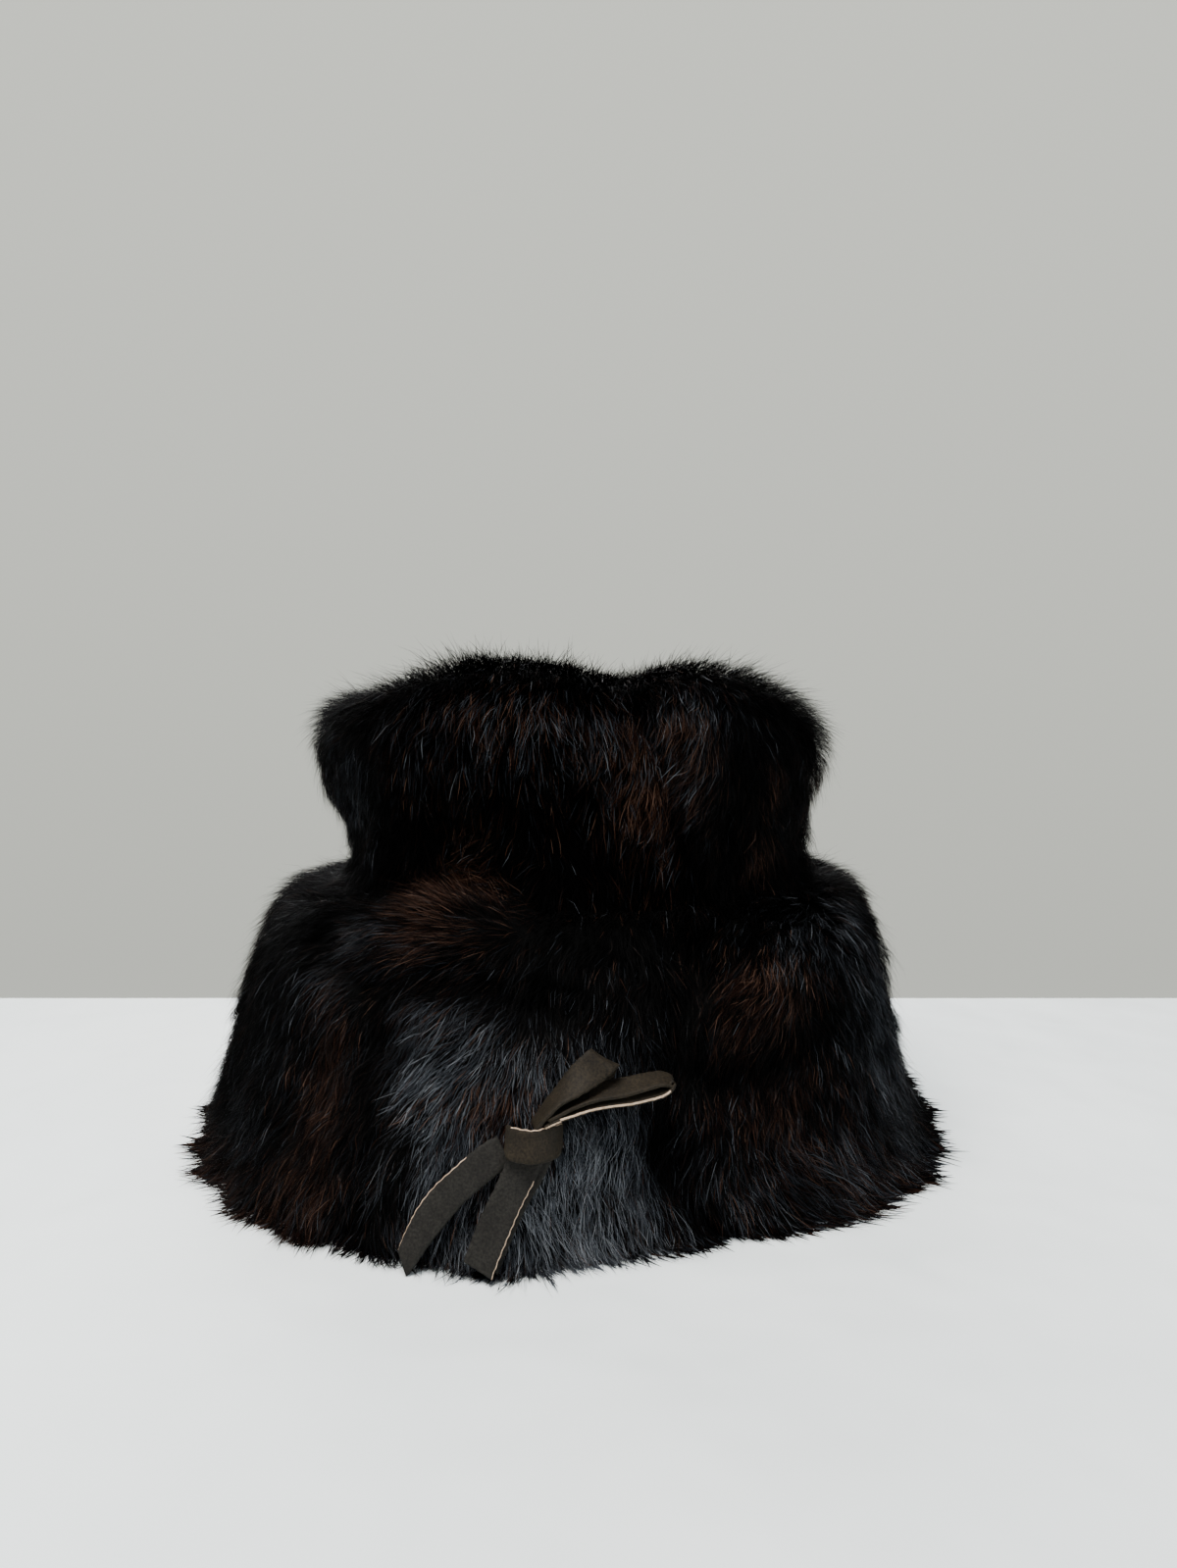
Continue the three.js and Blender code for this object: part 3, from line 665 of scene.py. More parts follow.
def fur_tree(blades, material):
    """Hairs on a combed skin: blades of fur at random places, drawn together into locks and
    strands, with their tone and their height on the OFBake map. Each chance has its own seed."""
    t = Tree("fur")
    skin = t.entry.outputs["Geometry"]
    density = t.input("Density", "Float")
    length = t.input("Length", "Float")
    width = t.input("Width", "Float")
    lock_gap = t.input("Lock gap", "Float")
    strand_gap = t.input("Strand gap", "Float")
    seed = t.input("Seed", "Int")
    position = t.add("GeometryNodeInputPosition")

    def scatter(how_many, salt):
        on_fur = t.times(how_many, t.named("fur"))
        values = {"Mesh": skin, "Density": on_fur, "Seed": t.math("ADD", seed, salt)}
        return t.add("GeometryNodeDistributePointsOnFaces", values, "Points", distribute_method="RANDOM")

    def towards(gap, salt, wobble):
        """From each root to the nearest of a sparser set of points, and that point itself."""
        centres = scatter(t.math("DIVIDE", 1.0, t.times(gap, gap)), salt)
        about = t.vector("ADD", position, t.wander(LOCK_WAVES, wobble))
        near = {"Geometry": centres, "Sample Position": about}
        near = t.add("GeometryNodeSampleNearest", near, domain="POINT")
        found = {"Geometry": centres, "Value": position, "Index": near}
        found = t.add("GeometryNodeSampleIndex", found, data_type="FLOAT_VECTOR", domain="POINT")
        return t.vector("SUBTRACT", found, position), found

    to_lock, _ = towards(lock_gap, 11, 0.006)
    to_strand, strand = towards(strand_gap, 12, 0.001)
    own_chance = t.add("ShaderNodeTexWhiteNoise", {"Vector": t.scaled(strand, 7000.0)}, "Value")
    roots = t.store(scatter(density, 0), "bright", own_chance)
    roots = t.store(roots, "to_lock", to_lock, "FLOAT_VECTOR")
    roots = t.store(roots, "to_strand", to_strand, "FLOAT_VECTOR")

    # A hair's tone: brown, grey or black by a draw, then lighter or darker within its colour.
    drawn = t.chance(0.0, 1.0, 21)
    brown = t.named("brown")
    patch = t.noise(PATCH_WAVES, 2.0, 0)
    uneven = t.line(t.math("SUBTRACT", patch, 0.5), -3.0, 1.0)
    either = t.line(t.math("ADD", brown, t.named("grey")), uneven, 0.03)
    tone = t.pick(t.math("LESS_THAN", drawn, either), BLACK_TONE, GREY_TONE)
    is_brown = t.math("LESS_THAN", drawn, t.line(brown, uneven, 0.015))
    tone = t.pick(is_brown, tone, BROWN_TONE)
    bright = t.line(t.named("bright"), 0.65, t.chance(0.0, 0.35, 22))
    tone = t.line(t.math("POWER", bright, 3.0), TONE_SPREAD, tone)
    tone = t.line(t.math("SUBTRACT", patch, 0.5), 0.1, tone)
    # Its place shifts the tone further: the fur's own lighter patches, painted light, and painted shade
    # in folds and seams.
    tone = t.line(t.named("lighter"), t.line(bright, 1.4, 0.25), tone)
    guard = t.math("LESS_THAN", t.chance(0.0, 1.0, 23), t.named("wisps"))
    tone = t.line(guard, 0.04, tone)
    roots = t.store(roots, "gathered", t.line(guard, -0.6, 1.0))
    roots = t.store(roots, "tone", t.math("MAXIMUM", t.math("MINIMUM", tone, 0.99), 0.01))

    # How it stands on the skin, and its size. Guard hairs are longer, thinner and stand off more.
    axes = {0: t.named("out", "FLOAT_VECTOR"), 1: t.named("comb", "FLOAT_VECTOR")}
    facing = t.add("FunctionNodeAxesToRotation", axes, primary_axis="Z", secondary_axis="Y")
    lift = t.math("ADD", t.chance(-12.0, 9.0, 31), t.named("rise"))
    lift = t.math("ADD", lift, t.times(guard, t.chance(-4.0, 20.0, 36)))
    tilt = t.combined(t.math("RADIANS", lift), t.chance(-0.75, 0.75, 32), t.chance(-0.26, 0.26, 33))
    tilt = t.add("FunctionNodeEulerToRotation", {0: tilt})
    turned = t.add("FunctionNodeRotateRotation", {0: facing, 1: tilt}, rotation_space="LOCAL")
    own_length = t.times(t.times(length, t.named("size")), t.chance(0.7, 1.15, 34))
    own_length = t.times(own_length, t.line(guard, GUARD_MORE, 1.0))
    own_width = t.times(width, t.chance(0.75, 1.25, 35))
    own_width = t.times(own_width, t.line(guard, -GUARD_MORE, 1.0))

    values = {"Collection": blades, "Separate Children": True, "Reset Children": True}
    instance = t.add("GeometryNodeCollectionInfo", values)
    which = {"Min": 0, "Max": len(blades.objects) - 1}
    values = {"Points": roots, "Instance": instance, "Pick Instance": True, "Rotation": turned}
    values["Instance Index"] = t.add("FunctionNodeRandomValue", which, 2, data_type="INT")
    values["Scale"] = t.combined(own_width, own_length, own_length)
    placed = t.add("GeometryNodeInstanceOnPoints", values)
    hairs = t.add("GeometryNodeRealizeInstances", {0: placed})

    # Tips are drawn into locks and strands, less so by the floor, and sway a little.
    along = t.named("along")
    gathered = t.times(along, t.named("gathered"))
    height = t.add("ShaderNodeSeparateXYZ", {0: position}, 2)

    def off_floor(low, high, shares):
        return t.add("ShaderNodeMapRange", {0: height, 1: low, 2: high, 3: shares[0], 4: shares[1]})

    share = t.times(t.math("POWER", gathered, 1.6), off_floor(0.002, 0.03, LOCK_PULL))
    pull = t.scaled(t.named("to_lock", "FLOAT_VECTOR"), share)
    share = t.times(gathered, off_floor(0.001, 0.022, STRAND_PULL))
    draw = t.scaled(t.named("to_strand", "FLOAT_VECTOR"), share)
    sway = t.wander(SWAY_WAVES, t.times(gathered, SWAY))
    offset = t.vector("ADD", t.vector("ADD", pull, draw), sway)
    moved = t.add("GeometryNodeSetPosition", {"Geometry": hairs, "Offset": offset})
    place = t.combined(t.named("tone"), t.line(along, FACE - 0.04, 0.03))
    mapped = t.store(moved, "OFBake", place, "FLOAT2", "CORNER")
    finished = t.add("GeometryNodeSetMaterial", {"Geometry": mapped, "Material": material})
    smooth = t.add("GeometryNodeSetShadeSmooth", {"Geometry": finished})
    both = t.tree.nodes.new("GeometryNodeJoinGeometry")
    t.tree.links.new(smooth, both.inputs[0])
    t.tree.links.new(skin, both.inputs[0])
    t.tree.links.new(both.outputs[0], t.tree.nodes.new("NodeGroupOutput").inputs[0])
    return t


BLADES = [
    # angles off the skin at which the parts of a hair lie, from its root to its tip
    (46, 20, 2),
    (50, 14, -8),
    (40, 16),
    (36, 6),
    (42, 2),
    (32, 12),
    (44, 9),
    (38, 0),
]


def hair_blades():
    """Blades one unit long that rise from the skin along +Y and lie over, each with its own bend.
    They are widest at 0.4 of their length and end in a point."""
    home = bpy.data.collections.new("hair blades")
    bpy.context.scene.collection.children.link(home)
    for number, bend in enumerate(BLADES):
        parts = len(bend)
        place = np.array([(0.0, 0.0)] + [(math.cos(a), math.sin(a)) for a in np.radians(bend)])
        place = np.cumsum(place, axis=0) / parts
        share = np.linspace(0, 1, parts + 1)
        half = 0.5 * (1 - 0.45 * np.abs(share - 0.4))
        points, along = [], []
        for k in range(parts):
            points += [(-half[k], *place[k]), (half[k], *place[k])]
            along += [share[k]] * 2
        points.append((0, *place[parts]))
        faces = [(2 * k, 2 * k + 1, 2 * k + 3, 2 * k + 2) for k in range(parts - 1)]
        faces.append((2 * parts - 2, 2 * parts - 1, 2 * parts))
        mesh = bpy.data.meshes.new("blade %d" % number)
        mesh.from_pydata(points, [], faces)
        mesh.attributes.new("along", "FLOAT", "POINT").data.foreach_set("value", along + [1.0])
        home.objects.link(bpy.data.objects.new("blade %d" % number, mesh))
    return home


def points_of(mesh):
    points = np.zeros(len(mesh.vertices) * 3, np.float32)
    mesh.vertices.foreach_get("co", points)
    return points.reshape(-1, 3)


def move_points(mesh, points):
    mesh.vertices.foreach_set("co", points.astype(np.float32).ravel())
    mesh.update()


def lie_on_floor(mesh):
    """Hair that would go through the floor bends outwards and lies on it."""
    points = points_of(mesh)
    uneven = 0.5 + 0.5 * np.sin(points[:, 0] * 9100 + points[:, 1] * 7300)
    rest = FLOOR_GAP + FLOOR_PILE * uneven
    deep = np.maximum(0, rest - points[:, 2])
    hair = (deep > 0) & (np.linalg.norm(points[:, :2], axis=1) > HEM_FROM)
    away = unit(points[:, :2] - np.array([0, AXIS_Y * MM]))
    points[hair, :2] += away[hair] * (deep[hair] * FLOOR_SPREAD)[:, None]
    points[hair, 2] = rest[hair]
    move_points(mesh, points)


def press_under_straps(mesh):
    """Fur under the bow is pressed down, so that no hair stands through a strap."""
    points = points_of(mesh).astype(float)
    for name, path in BOW.items():
        at, _, across, _ = strap_frames(name, steps=48)
        out = unit(np.array([front_point(x, z)[3] for x, z, *_ in path]).mean(0))
        near = np.flatnonzero(np.linalg.norm(points - at.mean(0), axis=1) < STRAP_NEAR)
        gap = points[near, None, :] - at[None, :, :]
        flat = gap - (gap @ out)[..., None] * out
        nearest = np.linalg.norm(flat, axis=2).argmin(1)
        offset = gap[np.arange(len(near)), nearest]
        height = offset @ out
        side = np.abs((offset * across[nearest]).sum(1))
        reach = np.abs((across[nearest] * out).sum(1)) * STRAP_WIDTH / 2 * MM + STRAP_BED
        under = side < (STRAP_WIDTH / 2 + STRAP_MARGIN) * MM
        through = under & (height > -reach) & (height < STRAP_COVERS)
        points[near[through]] -= out * (height[through] + reach[through])[:, None]
    move_points(mesh, points)


KEPT = ("position", "OFBake", "material_index", "sharp_face")


def in_scene(name, data):
    thing = bpy.data.objects.new(name, data)
    bpy.context.scene.collection.objects.link(thing)
    return thing


def furred(node, slot, skin, seed):
    """The pelt that stands for a node of the frame."""
    skin.materials.append(FURS[slot])
    skin.materials.append(SKIN)
    holder = in_scene(node + "_skin", skin)
    grown = holder.modifiers.new("fur", "NODES")
    grown.node_group = TREES[slot].tree
    sizes = {
        "Density": HAIR_DENSITY * 1,
        "Length": HAIR_LENGTH * MM,
        "Width": HAIR_WIDTH * MM * 1,
        "Lock gap": LOCK_GAP * MM,
        "Strand gap": STRAND_GAP * MM,
        "Seed": seed,
    }
    for name, value in sizes.items():
        grown[TREES[slot].inputs[name]] = value
    seen = holder.evaluated_get(bpy.context.evaluated_depsgraph_get())
    mesh = bpy.data.meshes.new_from_object(seen)
    bpy.data.objects.remove(holder)
    for key in [a.name for a in mesh.attributes if a.name not in KEPT and not a.is_required]:
        if mesh.attributes.get(key) and not key.startswith("."):
            mesh.attributes.remove(mesh.attributes[key])
    if node in ("brim_front", "brim_left"):
        press_under_straps(mesh)
    lie_on_floor(mesh)
    piece = in_scene("fur_" + node, mesh)
    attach(piece, "root")
    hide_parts(node)


def principled(name):
    material = bpy.data.materials.new(name)
    material.use_nodes = True
    return material, material.node_tree, material.node_tree.nodes["Principled BSDF"]


def ramp(tree, factor, stops):
    node = wire(tree, "ShaderNodeValToRGB", {0: factor})
    elements = node.color_ramp.elements
    while len(elements) < len(stops):
        elements.new(0.5)
    for element, (at, color) in zip(elements, stops):
        element.position = at
        element.color = (*color, 1)
    return node.outputs[0]


# The tip colours are the hairs' own, and the far darker roots are painted shade at the fur's base.
TONES = [
    # place on the map, root, tip, roughness
    (0.00, (0.0002, 0.0002, 0.0002), (0.0003, 0.0003, 0.0003), 0.75),
    (0.20, (0.0003, 0.0003, 0.0003), (0.0016, 0.0013, 0.0013), 0.6),
    (0.30, (0.0008, 0.0004, 0.0003), (0.0080, 0.0034, 0.0021), 0.45),
    (0.40, (0.0016, 0.0007, 0.0005), (0.0320, 0.0140, 0.0085), 0.38),
    (0.50, (0.0030, 0.0016, 0.0011), (0.1100, 0.0600, 0.0400), 0.34),
    # The grey tones' bright bluish tips are partly grey fur, partly painted sheen of the cool light.
    (0.58, (0.0008, 0.0009, 0.0010), (0.0045, 0.0050, 0.0062), 0.45),
    (0.70, (0.0014, 0.0016, 0.0019), (0.0187, 0.0211, 0.0255), 0.38),
    (0.82, (0.0028, 0.0031, 0.0038), (0.0765, 0.0850, 0.0980), 0.32),
    (0.98, (0.0060, 0.0062, 0.0068), (0.2230, 0.2350, 0.2530), 0.3),
]


def shader_group(name, inputs, outputs):
    """An empty shader group with its named sockets, and its two end nodes."""
    tree = bpy.data.node_groups.new(name, "ShaderNodeTree")
    for label, kind, value in inputs:
        socket = tree.interface.new_socket(label, in_out="INPUT", socket_type="NodeSocket" + kind)
        socket.default_value = value
    for label, kind in outputs:
        tree.interface.new_socket(label, in_out="OUTPUT", socket_type="NodeSocket" + kind)
    return tree, tree.nodes.new("NodeGroupInput"), tree.nodes.new("NodeGroupOutput")


def placed_group(tree, group, values):
    node = wire(tree, "ShaderNodeGroup", node_tree=group)
    for label, value in values.items():
        node.inputs[label].default_value = value
    return node


def hair_group():
    """Every hair's colour and gloss, from its tone and how far along the hair a place is. Towards
    its root a hair is darker: painted shade at the fur's base.
    """
    outputs = [("Color", "Color"), ("Roughness", "Float")]
    tree, given, result = shader_group("hair", [("Painted root shade", "Float", 0.1)], outputs)
    uv = wire(tree, "ShaderNodeUVMap", uv_map="OFBake")
    parts = wire(tree, "ShaderNodeSeparateXYZ", {0: uv.outputs[0]})
    tone, along = parts.outputs[0], parts.outputs[1]
    root = ramp(tree, tone, [(row[0], row[1]) for row in TONES])
    tip = ramp(tree, tone, [(row[0], row[2]) for row in TONES])
    gloss = ramp(tree, tone, [(row[0], (row[3],) * 3) for row in TONES])
    # Up to the painted root shade's length a hair keeps its root colour, then turns to its tip's.
    climb = wire(tree, "ShaderNodeMapRange", {0: along, 1: given.outputs[0], 2: FACE - 0.07})
    mixed = wire(tree, "ShaderNodeMix", {0: climb.outputs[0], 6: root, 7: tip}, data_type="RGBA")
    tree.links.new(mixed.outputs[2], result.inputs[0])
    tree.links.new(gloss, result.inputs[1])
    return tree


def mottle_group():
    """A mottled colour with a fine grain over it, and the grain's relief."""
    inputs = [("Patches", "Float", 100.0), ("Grain", "Float", 1000.0), ("Grain shade", "Float", 0.2)]
    inputs += [("Dark", "Color", (0, 0, 0, 1)), ("Light", "Color", (1, 1, 1, 1))]
    inputs += [("Relief", "Float", 0.3), ("Depth", "Float", 0.0002)]
    tree, group, result = shader_group("mottle", inputs, [("Color", "Color"), ("Normal", "Vector")])
    given = group.outputs
    place = wire(tree, "ShaderNodeTexCoord").outputs["Object"]
    cloud = {"Vector": place, "Scale": given["Patches"], "Detail": 5.0}
    cloud = wire(tree, "ShaderNodeTexNoise", cloud).outputs[0]
    grain = {"Vector": place, "Scale": given["Grain"], "Detail": 2.0}
    grain = wire(tree, "ShaderNodeTexNoise", grain).outputs[0]
    share = wire(tree, "ShaderNodeMapRange", {0: cloud, 1: 0.3, 2: 0.7}).outputs[0]
    ends = {0: share, 6: given["Dark"], 7: given["Light"]}
    color = wire(tree, "ShaderNodeMix", ends, data_type="RGBA").outputs[2]
    off = wire(tree, "ShaderNodeMath", {0: grain, 1: 0.5}, operation="SUBTRACT").outputs[0]
    depth = wire(tree, "ShaderNodeMath", {0: given["Grain shade"], 1: 5.0}, operation="MULTIPLY")
    shade = {0: off, 1: depth.outputs[0], 2: 1.0}
    shade = wire(tree, "ShaderNodeMath", shade, operation="MULTIPLY_ADD").outputs[0]
    final = wire(tree, "ShaderNodeVectorMath", {0: color, "Scale": shade}, operation="SCALE")
    tree.links.new(final.outputs[0], result.inputs[0])
    bump = {"Height": grain, "Strength": given["Relief"], "Distance": given["Depth"]}
    tree.links.new(wire(tree, "ShaderNodeBump", bump).outputs[0], result.inputs[1])
    return tree


def fur_material(name, hair, painted_root_shade, specular):
    material, tree, shader = principled(name)
    # The first value is how far up each hair the painted shade at its root lasts.
    node = placed_group(tree, hair, {"Painted root shade": painted_root_shade})
    tree.links.new(node.outputs["Color"], shader.inputs["Base Color"])
    tree.links.new(node.outputs["Roughness"], shader.inputs["Roughness"])
    shader.inputs["Specular IOR Level"].default_value = specular
    return material


LEATHER = (0.7, 0.15, 150.0, 1300.0, 0.5, 0.4, 0.0003)
MOTTLED = {
    # roughness, specular, patches, grain, grain shade, relief, depth, and the dark and light colour
    "white paper": (0.55, 0.3, 7.0, 16.0, 0.01, 0.35, 0.02, (0.88, 0.93, 0.925), (0.94, 0.98, 0.97)),
    "pelt skin": (0.88, 0.3, 45.0, 900.0, 0.05, 0.35, 0.0006, (0.15, 0.095, 0.06), (0.27, 0.19, 0.125)),
    "tie leather": (*LEATHER, (0.0092, 0.0066, 0.0036), (0.0165, 0.0120, 0.0066)),
    "tie leather worn": (*LEATHER, (0.0084, 0.0074, 0.0060), (0.0140, 0.0127, 0.0105)),
    "tie cut edge": (0.85, 0.3, 1500.0, 2600.0, 0.2, 0.4, 0.0002, (0.3, 0.205, 0.135), (0.56, 0.42, 0.3)),
}


def mottled_material(name, mottle):
    roughness, specular, *sizes, dark, light = MOTTLED[name]
    material, tree, shader = principled(name)
    values = dict(zip(("Patches", "Grain", "Grain shade", "Relief", "Depth"), sizes))
    node = placed_group(tree, mottle, {**values, "Dark": (*dark, 1), "Light": (*light, 1)})
    tree.links.new(node.outputs["Color"], shader.inputs["Base Color"])
    tree.links.new(node.outputs["Normal"], shader.inputs["Normal"])
    shader.inputs["Roughness"].default_value = roughness
    shader.inputs["Specular IOR Level"].default_value = specular
    return material


STRAP_WIDTH = 10.5
STRAP_THICK = 1.2
STRAP_BEVEL = 0.28
RIPPLE, SHORT_RIPPLE, FRAY = (0.25, 260), (0.15, 610), (0.12, 1900)  # mm, and radians a metre
WAVER = (0.018, 330)  # of the width, and radians a metre
CUPPED = 0.16  # mm that the sides stand over the middle
KNOT_ROUNDED = 0.5  # how much narrower the knot's foot is at its ends
BOW = {
    # x, z as seen from the front, mm out from the fur, and the way the width runs: right, up, out
    "tie_knot": [
        (-17.2, 40, 5.2, 0, 1, 0),
        (-15.6, 39.6, 8, 0, 1, 0),
        (-9, 38.8, 10.5, 0, 1, 0),
        (-2.5, 39.8, 6.5, 0, 1, 0),
        (0, 40, 0.9, 0, 1, 0),
    ],
    "tie_tail_left": [
        (-18, 37.2, 2.7, -0.5, 0.87, 0),
        (-22.5, 34.6, 3, -0.6, 0.8, 0),
        (-30.5, 28, 3.4, -0.65, 0.75, 0),
        (-37, 22, 2.1, -0.74, 0.67, 0),
        (-44, 13, 1.5, -0.83, 0.56, 0),
        (-50, 3, 1.3, -0.87, 0.5, 0),
    ],
    "tie_tail_under": [
        (-6.5, 38, 2, 1, 0, 0),
        (-11, 30, 1.4, 1, 0.3, 0),
        (-18, 18, 1.2, 1, 0.4, 0),
        (-24, 4, 1.2, 1, 0.4, 0),
    ],
    "tie_tail_right": [
        (-9.5, 38, 5, 1, 0.1, 0),
        (-14.5, 28, 4.6, 1, 0.3, 0),
        (-20.5, 15.5, 4.2, 1, 0.4, 0),
        (-25.5, 3, 4.2, 1, 0.4, 0),
    ],
    "tie_loop_right": [
        (-6, 44.6, 6.2, -0.3, -0.25, 1),
        (1, 48.6, 6.2, -0.2, -0.45, 0.85),
        (9, 51.2, 6.2, -0.15, -0.55, 0.8),
        (21.5, 52.4, 6.4, -0.15, -0.55, 0.8),
        (31.5, 53.4, 6.4, -0.3, -0.35, 0.85),
        (34.2, 54.8, 6.4, -0.45, -0.15, 0.9),
        (31.5, 56, 6.4, -0.4, -0.3, 0.85),
        (20, 54.6, 6.4, -0.2, -0.5, 0.85),
        (8.5, 52.8, 6.2, -0.2, -0.45, 0.85),
        (-5, 46.2, 6.2, -0.3, -0.25, 1),
    ],
    "tie_loop_upper": [
        (-9, 44.6, 5.6, 0.15, -0.2, 1),
        (-2.5, 52, 6.8, 0.25, -0.25, 0.95),
        (3, 56.5, 8, 0.65, -0.4, 0.6),
        (8.6, 60.5, 7.4, 0.85, -0.5, 0.1),
        (12.2, 63, 6.2, 0.85, -0.5, 0),
        (13.4, 63.2, 4, 0.85, -0.5, 0),
        (12.5, 60.8, 2, 0.85, -0.5, 0),
        (8, 56.5, 1.6, 0.85, -0.5, 0),
    ],
}
STRAP_ENDS = {
    # mm that the far end is cut aslant, and how much narrower it shows there
    "tie_tail_left": (-2.6, 0.35),
    "tie_tail_right": (0.8, 0.0),
    "tie_tail_under": (0.8, 0.0),
}
# A pale cut edge is partly the cut leather's own colour, partly painted light: only the lit side's half
# that faces the front is pale, and the rest of the edge keeps the dark leather.
PALE_EDGES = {
    # the side whose cut edge is bare and pale, and from where to where along the strap
    "tie_knot": (1, 0.22, 0.92),
    "tie_tail_left": (1, 0.3, 1.0),
    "tie_tail_under": (-1, 0.0, 1.0),
    "tie_tail_right": (1, 0.25, 1.0),
    "tie_loop_right": (1, 0.0, 0.45),
}

TABLE = (1.5, -1.3, 0.178)  # half its width, and its front and back end
# The wall behind is darker low down: painted shade near the table.
WALL_AND_PAINTED_SHADE = [(0, (0.67, 0.685, 0.62)), (1, (0.89, 0.91, 0.82))]  # the colour behind, low and high
AMBIENT, AMBIENT_STRENGTH = (0.60, 0.62, 0.64, 1), 0.42
LAMPS = [
    # name, place, what it points at, size, watts, colour
    ("ceiling", (-0.35, -0.47, 1.5), (0, 0, 0.08), 1.1, 52, (1.0, 0.99, 0.97)),
    ("window", (1.1, -1.0, 0.9), (0, 0, 0.1), 0.8, 10, (0.84, 0.92, 1.0)),
    ("room behind", (-0.3, 1.5, 1.1), (0, 0, 0.05), 1.6, 42, (0.97, 0.99, 1.0)),
]


def front_point(x, z):
    """The fur's outside at a place as it is seen from the front, with the ways right, up and out."""
    deg, station = 0.0, HEM - 1.0
    for _ in range(12):
        guess = wall_point(deg, station) / MM - (0, AXIS_Y, 0)
        lower = wall_point(deg, station + 0.01) / MM
        station += (z - guess[2]) / (lower[2] - guess[2]) * 0.01
        station = min(max(station, WAIST + 1), HEM)
        deg = math.degrees(math.asin(x / math.hypot(guess[0], guess[1])))
    at = wall_point(deg, station)
    right = unit(wall_point(deg + 2, station) - wall_point(deg - 2, station))
    up = unit(wall_point(deg, station - 0.2) - at)
    return at, right, up, unit(np.cross(right, up))


def strap_frames(name, steps=72):
    """Points along a strap's middle with the ways along it, across it and off its face."""
    places, ways = [], []
    for x, z, height, wide_right, wide_up, wide_out in BOW[name]:
        at, right, up, out = front_point(x, z)
        places.append(at + out * height * MM)
        ways.append(right * wide_right + up * wide_up + out * wide_out)
    middle, wide = smooth_curve(places), smooth_curve(ways)
    place = np.linspace(0, len(places) - 1, steps + 1)
    along = middle(np.minimum(place + 0.01, place[-1])) - middle(np.maximum(place - 0.01, 0))
    along = unit(along)
    across = wide(place)
    across = unit(across - along * (across * along).sum(1, keepdims=True))
    return middle(place), along, across, np.cross(along, across)


def strap_outline():
    """The strap's cut across, in mm across and mm up, once round from the middle of a cut edge."""
    half, thick = STRAP_WIDTH / 2, STRAP_THICK / 2
    flat = half - STRAP_BEVEL
    upper = [(half, 0), (half, thick - STRAP_BEVEL)]
    upper += [(flat - 2 * flat * k / 8, thick) for k in range(9)]
    upper += [(-half, thick - STRAP_BEVEL)]
    return upper + [(-a, -f) for a, f in upper]


def strap_points(name, outline, at, along, across, face):
    """The strap's outline at each step, a little wavy and frayed, and off the floor."""
    half, last = STRAP_WIDTH / 2, len(at) - 1
    travel = np.concatenate([[0], np.cumsum(np.linalg.norm(np.diff(at, axis=0), axis=1))])
    phase = np.random.default_rng(len(name)).uniform(0, 6.28, 3)
    ripple = RIPPLE[0] * np.sin(travel * RIPPLE[1] + phase[0])
    ripple = ripple + SHORT_RIPPLE[0] * np.sin(travel * SHORT_RIPPLE[1] + phase[1])
    slant, narrowing = STRAP_ENDS.get(name, (0, 0))
    points = []
    for step in range(len(at)):
        near_end = max(0, (step / last - 0.75) / 0.25)
        waver = 1 + WAVER[0] * math.sin(travel[step] * WAVER[1] + phase[0])
        for a, f in outline:
            share = a / half
            fray = FRAY[0] * math.sin(travel[step] * FRAY[1] + phase[2] + 3 * np.sign(a))
            wide = (a * waver + fray * abs(share) ** 6) * (1 - narrowing * near_end)
            if name == "tie_knot":
                wide = max(wide, -half * (1 - KNOT_ROUNDED * abs(2 * step / last - 1) ** 3))
            rise = f + ripple[step] * 0.3 * share + CUPPED * share * share
            moved = along[step] * (slant * near_end) * share + across[step] * wide + face[step] * rise
            x, y, z = at[step] + moved * MM
            points.append((x, y, max(z, 0.0002 * (2 + share + f))))
    return points


def strap_faces(name, outline, face):
    """The strap's faces, sides first and then its two ends, and which of them are a pale cut, partly
    the cut leather's own colour and partly painted light.
    """
    side, first, last = PALE_EDGES.get(name, (0, 0, 0))
    steps, count = len(face), len(outline)
    faces, pale = [], []
    for step in range(steps - 1):
        here, there = step * count, (step + 1) * count
        bare = first <= step / (steps - 1) <= last
        for k in range(count):
            j = (k + 1) % count
            faces.append((here + k, here + j, there + j, there + k))
            up = outline[k][1] + outline[j][1]
            on_edge = side * outline[k][0] > 0 and abs(up) / 2 < STRAP_THICK / 2 - 0.02
            # Only the half of the edge that faces the front is pale: painted light.
            pale.append(bare and on_edge and up * face[step][1] < 0)
    faces.append(tuple(range(count - 1, -1, -1)))
    faces.append(tuple(range((steps - 1) * count, steps * count)))
    return faces, pale + [False, name == "tie_tail_left"]


def lay_out_strap(mesh, steps, count):
    """The strap's sides as one sheet on the UV map, and its two ends as small discs over it."""
    sides = (steps - 1) * count
    flat = []
    for polygon in mesh.polygons:
        for corner, vertex in enumerate(polygon.vertices):
            k = vertex % count
            if polygon.index >= sides:
                angle = 2 * math.pi * k / count
                end = 0.25 + 0.5 * (polygon.index - sides)
                flat.append((end + 0.02 * math.cos(angle), 0.975 + 0.02 * math.sin(angle)))
                continue
            if polygon.index % count == count - 1 and corner in (1, 2):
                k = count
            step = polygon.index // count + (corner in (2, 3))
            flat.append((0.01 + 0.98 * k / count, 0.01 + 0.93 * step / (steps - 1)))
    uv = mesh.uv_layers.new(name="OFBake")
    uv.data.foreach_set("uv", np.array(flat, np.float32).ravel())


